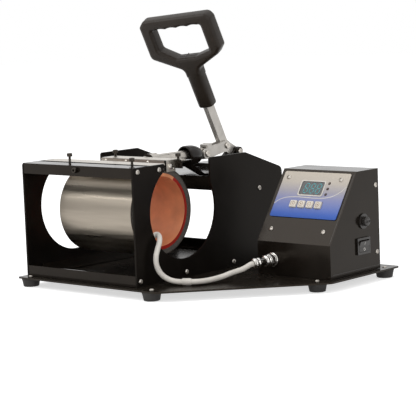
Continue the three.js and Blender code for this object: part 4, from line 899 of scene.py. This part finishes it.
def rod_piece():
    """A threaded stud through the clamp bar, a thick rod up to the knob, and a slotted tongue."""
    mesh = bmesh.new()
    threads = 21
    pitch = 1.1
    bevel = 0.7
    rings = [(3.3, stud_front), (STUD_RADIUS, stud_front + 1.2)]
    for i in range(threads):
        y = stud_front + 1.4 + pitch * i
        rings += [(STUD_RADIUS, y), (STUD_RADIUS - 0.5, y + pitch / 2)]
    shoulder = knob_front + 11
    rings += [
        (STUD_RADIUS, rod_front), (ROD_RADIUS - bevel, rod_front), (ROD_RADIUS, rod_front + bevel),
        (ROD_RADIUS, shoulder - bevel), (ROD_RADIUS - bevel, shoulder), (TAIL_RADIUS, shoulder),
        (TAIL_RADIUS, -7),
    ]
    turned(mesh, ROD, rings, 56)
    slot = box_outline(-3.3, 7.2, -4.6, 4.6, 2)
    lower = [(-8.1, -4, 0), (-5, -7, 2), (8, -7, 4), (11.4, 0, 5)]
    upper = [(y, -z, r) for y, z, r in reversed(lower[:-1])]
    outline = rounded(lower + upper)
    upright = PRESS @ Matrix.Translation(eye) @ SWEEP_X
    plate(mesh, upright, [outline, slot], -TONGUE_HALF, TONGUE_HALF, 0.4)
    finish_piece(mesh, "turned_rod", "slider", [dull_chrome], ["push_rod"])


rod_piece()


def nut_piece(name, node, start, length, flats):
    """A hexagon nut with its corners turned off at both ends."""
    size = hexagon(flats)
    turned_off = flats * 0.535

    def tip(angle):
        return min(size(angle), turned_off)

    mesh = bmesh.new()
    turned(mesh, ROD, [
        (4.7, start + 0.05), (5.1, start), (tip, start), (size, start + 0.9), (size, start + length - 0.9),
        (tip, start + length), (5.1, start + length), (4.7, start + length - 0.05),
    ], 72, False)
    finish_piece(mesh, name, "slider", [dull_chrome], [node])


nut_piece("rear_hex_nut", "rod_nut_rear", bar_face + 1, 14, 16.2)
nut_piece("front_hex_nut", "rod_nut_front", bar_face - 9, 6, 12)


def knob_piece():
    """A bell: a thin lip at the open front, and a full shoulder that narrows at the rear."""
    length = knob_rear - knob_front
    straight = 0.3
    steps = 22
    outside = []
    for i in range(steps + 1):
        t = i / steps
        share = straight + (1 - straight) * t
        outside.append((KNOB_RADIUS * math.sqrt(1 - (0.86 * t) ** 2), knob_front + share * length))
    mesh = bmesh.new()
    turned(mesh, ROD, [
        (4.5, knob_front + 13), (8, knob_front + 13), (9.3, knob_front + 11.5), (9.6, knob_front + 9),
        (10.7, knob_front + 0.8), (11.2, knob_front + 0.1), (11.8, knob_front), (12.5, knob_front + 0.3),
        (12.85, knob_front + 1.2), (KNOB_RADIUS, knob_front + 2.5), (KNOB_RADIUS, knob_front + 6), *outside,
        (4.5, knob_rear),
    ], 80, False)
    finish_piece(mesh, "bell_knob", "knob", [knob_plastic], ["pressure_knob"])


knob_piece()


def pin_piece(name, node, body, at):
    """A pin with a domed, dimpled head at each end."""
    left, right = span_of(node, 0)
    half = (right - left) / 2
    place = PRESS @ Matrix.Translation(at) @ ALONG_X
    rings = [(0.4, -half + 0.5), (1.1, -half + 0.4), (1.4, -half), (3.4, -half), (4.1, -half + 0.7)]
    rings += [(4.1, -half + 1.75), (3, -half + 1.8)]
    rings += [(radius, -height) for radius, height in reversed(rings)]
    mesh = bmesh.new()
    turned(mesh, place, rings, 48)
    finish_piece(mesh, name, body, [dull_chrome], [node])


pin_piece("pivot_rivet", "pivot_pin", "press", pivot)
pin_piece("knee_rivet", "knee_pin", "lever", knee)
pin_piece("eye_rivet", "eye_pin", "link", eye)


# Grip: a D shaped loop with finger grooves on a rounded neck

GRIP_HALF_DEPTH = 8.95
GRIP_ACROSS = GRIP @ turn_about("X", 90)


def grip_outlines():
    outer = rounded([
        (-11, 44, 0), (-11.2, 54.5, 8), (-52.8, 75, 9), (-52.8, 120.5, 5), (-45.5, 127.9, 7),
        (48, 128.3, 9), (52.7, 121, 6), (52.8, 80, 7), (45.5, 72, 6), (11.2, 55, 8), (11, 44, 0),
    ], 8)
    window = rounded([
        (35.5, 114.9, 3), (35.5, 78.4, 4), (12.4, 71.8, 5), (-15.4, 71.8, 5), (-36, 84.4, 5),
        (-36, 113.9, 3),
    ])
    fingers = []
    steps = 40
    for i in range(1, steps):
        x = -33 + 65.5 * i / steps
        wave = 1.4 * abs(math.sin(math.pi * 4 * i / steps)) - 0.5
        fingers.append(Vector((x, 114 + 0.8 * i / steps + wave)))
    return outer, [*fingers, *window]


def neck_radius(wide, deep):
    """Radius of the neck's squarish section at an angle."""
    power = 3.2

    def radius(angle):
        return (abs(math.cos(angle) / wide) ** power + abs(math.sin(angle) / deep) ** power) ** (-1 / power)
    return radius


def grip_piece():
    outer, window = grip_outlines()
    mesh = bmesh.new()
    plate(mesh, GRIP_ACROSS, [outer, window], -GRIP_HALF_DEPTH, GRIP_HALF_DEPTH, 4.4)
    turned(mesh, GRIP, [
        (neck_radius(9.8, 8), 0), (neck_radius(10.5, 8.7), 0.5), (neck_radius(10.8, 9), 2),
        (neck_radius(10.9, 9.1), 24), (neck_radius(11, 9.1), 46), (neck_radius(12, 8.8), 60),
    ], 64)
    finish_piece(mesh, "grip_shell", "lever", [grip_plastic], ["grip"])


grip_piece()


def grip_seams():
    """The moulding's parting line along the window's floor, and the step where its halves meet."""
    mesh = bmesh.new()
    plate(mesh, GRIP_ACROSS, [box_outline(-4.6, -4, 69.8, 72.2, 0.1)], -7, 7)
    plate(mesh, GRIP_ACROSS, [box_outline(-15, 12, 71.2, 72.1, 0.3)], -0.5, 0.5)
    finish_piece(mesh, "grip_seams", "lever", [part_plastic])


grip_seams()


# Control box details, mostly laid out on its slope. Bounds are left, right, bottom and top

LABEL_BOUNDS = (5, 102.7, 33, 94)
LABEL_TOP = 1.1
DISPLAY_BOUNDS = (34.6, 71.2, 61.9, 82.9)
KEY_COLUMNS = [34.4 + 12.2 * i for i in range(4)]
KEY_ROW = 50.4
KEY_HALF_WIDTH = 4.8
KEY_HALF_HEIGHT = 4.6
LAMP_COLUMN = 75.9
LAMP_ROWS = [80 - 7.35 * i for i in range(3)]
ROCKER_PIVOT = (BOX_RIGHT + 0.3, 212.5, 31.7)


def key_bounds(middle):
    return (
        middle - KEY_HALF_WIDTH, middle + KEY_HALF_WIDTH,
        KEY_ROW - KEY_HALF_HEIGHT, KEY_ROW + KEY_HALF_HEIGHT,
    )


def label_piece():
    """The printed plate, with openings for the display, the keys and the lamps."""
    outlines = [box_outline(*LABEL_BOUNDS, 2.6), box_outline(*inset(DISPLAY_BOUNDS, 1.1), 2.4)]
    outlines += [box_outline(*inset(key_bounds(middle), -0.3), 1.6) for middle in KEY_COLUMNS]
    outlines += [circle(LAMP_COLUMN, row, 1.9, 20) for row in LAMP_ROWS]
    mesh = bmesh.new()
    plate(mesh, SLOPE, outlines, 0.3, LABEL_TOP, 0.15)
    finish_piece(mesh, "printed_label", "press", [label_print], ["control_label"])


label_piece()


def label_swoosh():
    """A thin pale curve printed across the label."""
    centre = smooth_route([
        (5.3, 50, 0), (10, 54.5, 0), (18.6, 58.3, 0), (32, 60, 0), (46, 60, 0), (60, 59.6, 0),
        (74, 60.2, 0), (86, 63, 0), (95, 68.6, 0), (102.3, 77, 0),
    ], 8)
    half_width = 0.45
    left, right = [], []
    for i, point in enumerate(centre):
        ahead = centre[min(i + 1, len(centre) - 1)] - centre[max(i - 1, 0)]
        side = Vector((-ahead.y, ahead.x, 0)).normalized() * half_width
        left.append((point + side).to_2d())
        right.append((point - side).to_2d())
    mesh = bmesh.new()
    plate(mesh, SLOPE, [left + right[::-1]], LABEL_TOP, LABEL_TOP + 0.06)
    finish_piece(mesh, "label_swoosh", "press", [pale_print])


label_swoosh()


def digit(mesh, left, bottom, width, height):
    """All seven bars of a digit, slanted to the right."""
    half = 1.15 / 2
    slant = 0.14
    right = left + width
    middle = bottom + height / 2

    def bar(*corners):
        plate(mesh, SLOPE, [[(x + slant * (y - bottom), y) for x, y in corners]], 0.85, 1)

    for y in (bottom, middle, bottom + height):
        bar((left + 0.7, y), (left + 1.3, y - half), (right - 1.3, y - half),
            (right - 0.7, y), (right - 1.3, y + half), (left + 1.3, y + half))
    for x in (left, right):
        for low in (bottom, middle):
            high = low + height / 2
            bar((x, low + 0.6), (x + half, low + 1.2), (x + half, high - 1.2),
                (x, high - 0.6), (x - half, high - 1.2), (x - half, low + 1.2))


def display_pieces():
    """A raised pale surround, and three slanted digits on a dark window."""
    mesh = bmesh.new()
    outer = box_outline(*DISPLAY_BOUNDS, 3)
    inner = box_outline(*inset(DISPLAY_BOUNDS, 1.6), 2.2)
    plate(mesh, SLOPE, [outer, inner], LABEL_TOP - 0.05, LABEL_TOP + 0.5, 0.2)
    finish_piece(mesh, "display_surround", "press", [pale_print])
    mesh = bmesh.new()
    for i in range(3):
        digit(mesh, 41.2 + 8.9 * i, 66.2, 5.6, 12.4)
    finish_piece(mesh, "display_digits", "press", [digit_teal])
    mesh = bmesh.new()
    plate(mesh, SLOPE, [box_outline(*inset(DISPLAY_BOUNDS, 1.7), 2.2)], 0.4, 0.9)
    finish_piece(mesh, "display_panel", "press", [window_dark], ["display_window"])


display_pieces()


# Up, down, bar and square, about the middle of a key
KEY_MARKS = (
    [(-1.3, -0.8), (1.3, -0.8), (0, 1.3)],
    [(-1.3, 0.8), (0, -1.3), (1.3, 0.8)],
    [(-1.3, -0.35), (1.3, -0.35), (1.3, 0.35), (-1.3, 0.35)],
    [(-0.9, -0.9), (0.9, -0.9), (0.9, 0.9), (-0.9, 0.9)],
)


def key_piece(number, body, middle, mark):
    """A pillow shaped key, with a plain ring and a mark on it."""
    bounds = key_bounds(middle)
    mesh = bmesh.new()
    plate(mesh, SLOPE, [box_outline(*bounds, 1.5)], -9.4, 3.3, 1.1)
    plate(mesh, SLOPE, [box_outline(*inset(bounds, -0.9), 1)], -3.3, -1.8, 0.2)
    finish_piece(mesh, f"key_{number}", body, [key_white], [f"button_{number}"])
    mesh = bmesh.new()
    plate(mesh, SLOPE, [circle(middle, KEY_ROW, radius, 28) for radius in (3, 2.4)], 3.25, 3.36)
    plate(mesh, SLOPE, [[(middle + x, KEY_ROW + y) for x, y in mark]], 3.25, 3.36)
    finish_piece(mesh, f"key_mark_{number}", body, [key_mark])


for i, word in enumerate(("one", "two", "three", "four")):
    key_piece(i + 1, f"button_{word}", KEY_COLUMNS[i], KEY_MARKS[i])


def lamp_pieces():
    """Three domed lamps in a column."""
    for i, row in enumerate(LAMP_ROWS):
        mesh = bmesh.new()
        turned(mesh, SLOPE @ shift(LAMP_COLUMN, row, 0), [
            (1.5, -12.6), (1.5, 0.9), (1.35, 1.3), (1, 1.6), (0.5, 1.75), (0.1, 1.78),
        ], 32)
        finish_piece(mesh, f"lamp_{i + 1}", "press", [lamp_lens], [f"led_{i + 1}"])


lamp_pieces()


def on_slope(u, v, height):
    return SLOPE @ shift(u, v, height) @ turn_about("Z", 25)


def on_box_side(y, z):
    return PRESS @ shift(BOX_RIGHT, y, z) @ ALONG_X @ turn_about("Z", 30)


screws("label_screws", [on_slope(13.2, 85.9, LABEL_TOP), on_slope(90.8, 85.6, LABEL_TOP)], 2.9, 1.7)
screws("slope_screws", [on_slope(13.8, 16.7, 0), on_slope(90.9, 17.1, 0)], 3, 1.8)
screws("box_side_screws", [on_box_side(241, 100.8), on_box_side(241, 20.8)], 2.9, 1.8)


def cover_seams():
    """Narrow folds' shadow lines: down the slope's right edge, and along the foot of the side."""
    mesh = bmesh.new()
    plate(mesh, SLOPE, [box_outline(105.6, 106.1, 3, slope_length - 3, 0.2)], -0.2, 0.08)
    side = PRESS @ shift(BOX_RIGHT, 0, 0) @ SWEEP_X
    plate(mesh, side, [box_outline(BOX_FRONT + 4, 246.4, 4.6, 5.1, 0.2)], -0.3, 0.08)
    finish_piece(mesh, "cover_seams", "press", [part_plastic])


cover_seams()


def fuse_cap_piece():
    """A ribbed cap with a coin slot."""
    middle = middle_of("fuse_cap")
    place = millimetres_from((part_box("fuse_cap")[0][0], middle.y, middle.z)) @ ALONG_X
    ribs = ribbed(5.55, 0.5, 16)
    top = 5.5
    slot_floor = 4.2
    slot_half_width = 0.8

    def slotted(radius):
        def level(angle):
            in_slot = abs(radius * math.cos(angle)) < slot_half_width
            return slot_floor if in_slot else top
        return radius, level

    mesh = bmesh.new()
    turned(mesh, place, [
        (0.4, 0.1), (5, 0), (5.4, 0.3), (ribs, 0.7), (ribs, 4.2), (5, 4.8), (4.6, 5.3),
        slotted(4.1), slotted(3), slotted(2), slotted(1), (0.3, slot_floor),
    ], 108)
    finish_piece(
        mesh, "ribbed_fuse_cap", "fuse_cap_turning", [part_plastic], ["fuse_cap"],
    )


fuse_cap_piece()


def rocker_marks():
    """The on and off marks of the rocker: a bar and a ring, standing on its two sloping halves."""
    tilt = 9
    slant = math.degrees(math.atan2(1.2, 6.35))
    paddle = PRESS @ shift(*ROCKER_PIVOT) @ turn_about("Y", tilt)
    bar = [box_outline(-0.35, 0.35, -1.8, 1.8, 0.1)]
    ring = [circle(0, 0, radius, 24) for radius in (1.7, 1.1)]
    mesh = bmesh.new()
    for side, outlines in ((1, bar), (-1, ring)):
        place = paddle @ shift(2.72, 0, side * 3.6) @ turn_about("Y", side * slant) @ SWEEP_X
        plate(mesh, place, outlines, 0, 0.12)
    finish_piece(mesh, "rocker_marks", "rocker", [mark_white])


rocker_marks()


def socket_piece():
    """The box's round socket: a threaded barrel, a hexagon flange with rounded corners, and a stem."""
    front, rear = span_of("output_socket", 1)
    face = BOX_FRONT - 0.3
    mesh = bmesh.new()
    flats = hexagon(16.4)

    def flange(angle):
        return min(flats(angle), 8.5)

    rings = [(3.5, front + 0.1), (4.7, front)]
    for i in range(7):
        rings += [(4.95, front + 0.6 + i), (4.6, front + 1.1 + i)]
    rings += [
        (4.9, face - 2.2), (7.6, face - 2.2), (flange, face - 1.7), (flange, face), (5.9, face),
        (5.9, rear), (0.5, rear),
    ]
    turned(mesh, socket_frame(), rings, 72)
    finish_piece(mesh, "round_socket", "press", [chrome], ["output_socket"])


socket_piece()


# Floor and light

FLOOR_GLOW = 0.62
FLOOR_REACH = 6
FLOOR_DROP = 0.0005
WORLD_LIGHT = 0.45
LIGHT_TARGET = Vector((0, 0, 0.1))


def seen_directly(tree):
    """1 for camera rays and for mirrored or transmitted ones, and 0 for light that falls on the object."""
    path = tree.nodes.new("ShaderNodeLightPath")
    total = path.outputs["Is Camera Ray"]
    for ray in ("Is Glossy Ray", "Is Transmission Ray"):
        both = tree.nodes.new("ShaderNodeMath")
        both.operation = "MAXIMUM"
        tree.links.new(total, both.inputs[0])
        tree.links.new(path.outputs[ray], both.inputs[1])
        total = both.outputs["Value"]
    return total


def strength_between(tree, low, high, socket):
    """Sets a strength that is high where the surface is seen directly and low elsewhere."""
    ranged = tree.nodes.new("ShaderNodeMapRange")
    tree.links.new(seen_directly(tree), ranged.inputs["Value"])
    ranged.inputs["To Min"].default_value = low
    ranged.inputs["To Max"].default_value = high
    tree.links.new(ranged.outputs["Result"], socket)


def white_floor():
    """A plain pale floor that the camera sees as white except where the object shades it."""
    made = bpy.data.materials.new("floor_white")
    made.use_nodes = True
    tree = made.node_tree
    shader = tree.nodes["Principled BSDF"]
    shader.inputs["Base Color"].default_value = (0.85, 0.85, 0.85, 1)
    shader.inputs["Roughness"].default_value = 1
    shader.inputs["Specular IOR Level"].default_value = 0
    shader.inputs["Emission Color"].default_value = (1, 1, 1, 1)
    strength_between(tree, 0, FLOOR_GLOW, shader.inputs["Emission Strength"])
    data = bpy.data.meshes.new("floor")
    turns = ((-1, -1), (1, -1), (1, 1), (-1, 1))
    data.from_pydata([(FLOOR_REACH * x, FLOOR_REACH * y, 0) for x, y in turns], [], [(0, 1, 2, 3)])
    data.materials.append(made)
    floor = add_object("floor", data)
    floor.location.z = -FLOOR_DROP


white_floor()


def area_light(name, place, size, power):
    data = bpy.data.lights.new(name, "AREA")
    data.size = size
    data.energy = power
    lamp = add_object(name, data)
    lamp.location = place
    lamp.rotation_euler = (LIGHT_TARGET - Vector(place)).to_track_quat("-Z", "Y").to_euler()


area_light("key", (-1.2, -1.8, 2.0), 2.2, 34)
area_light("fill", (2.2, -1.2, 1.1), 1.4, 16)
area_light("top", (0.1, 0.6, 2.4), 2.8, 18)

world = bpy.data.worlds.new("studio")
bpy.context.scene.world = world
world.use_nodes = True
background = world.node_tree.nodes["Background"]
background.inputs["Color"].default_value = (1, 1, 1, 1)
strength_between(world.node_tree, WORLD_LIGHT, 1, background.inputs["Strength"])
bpy.context.scene.view_settings.view_transform = "Standard"
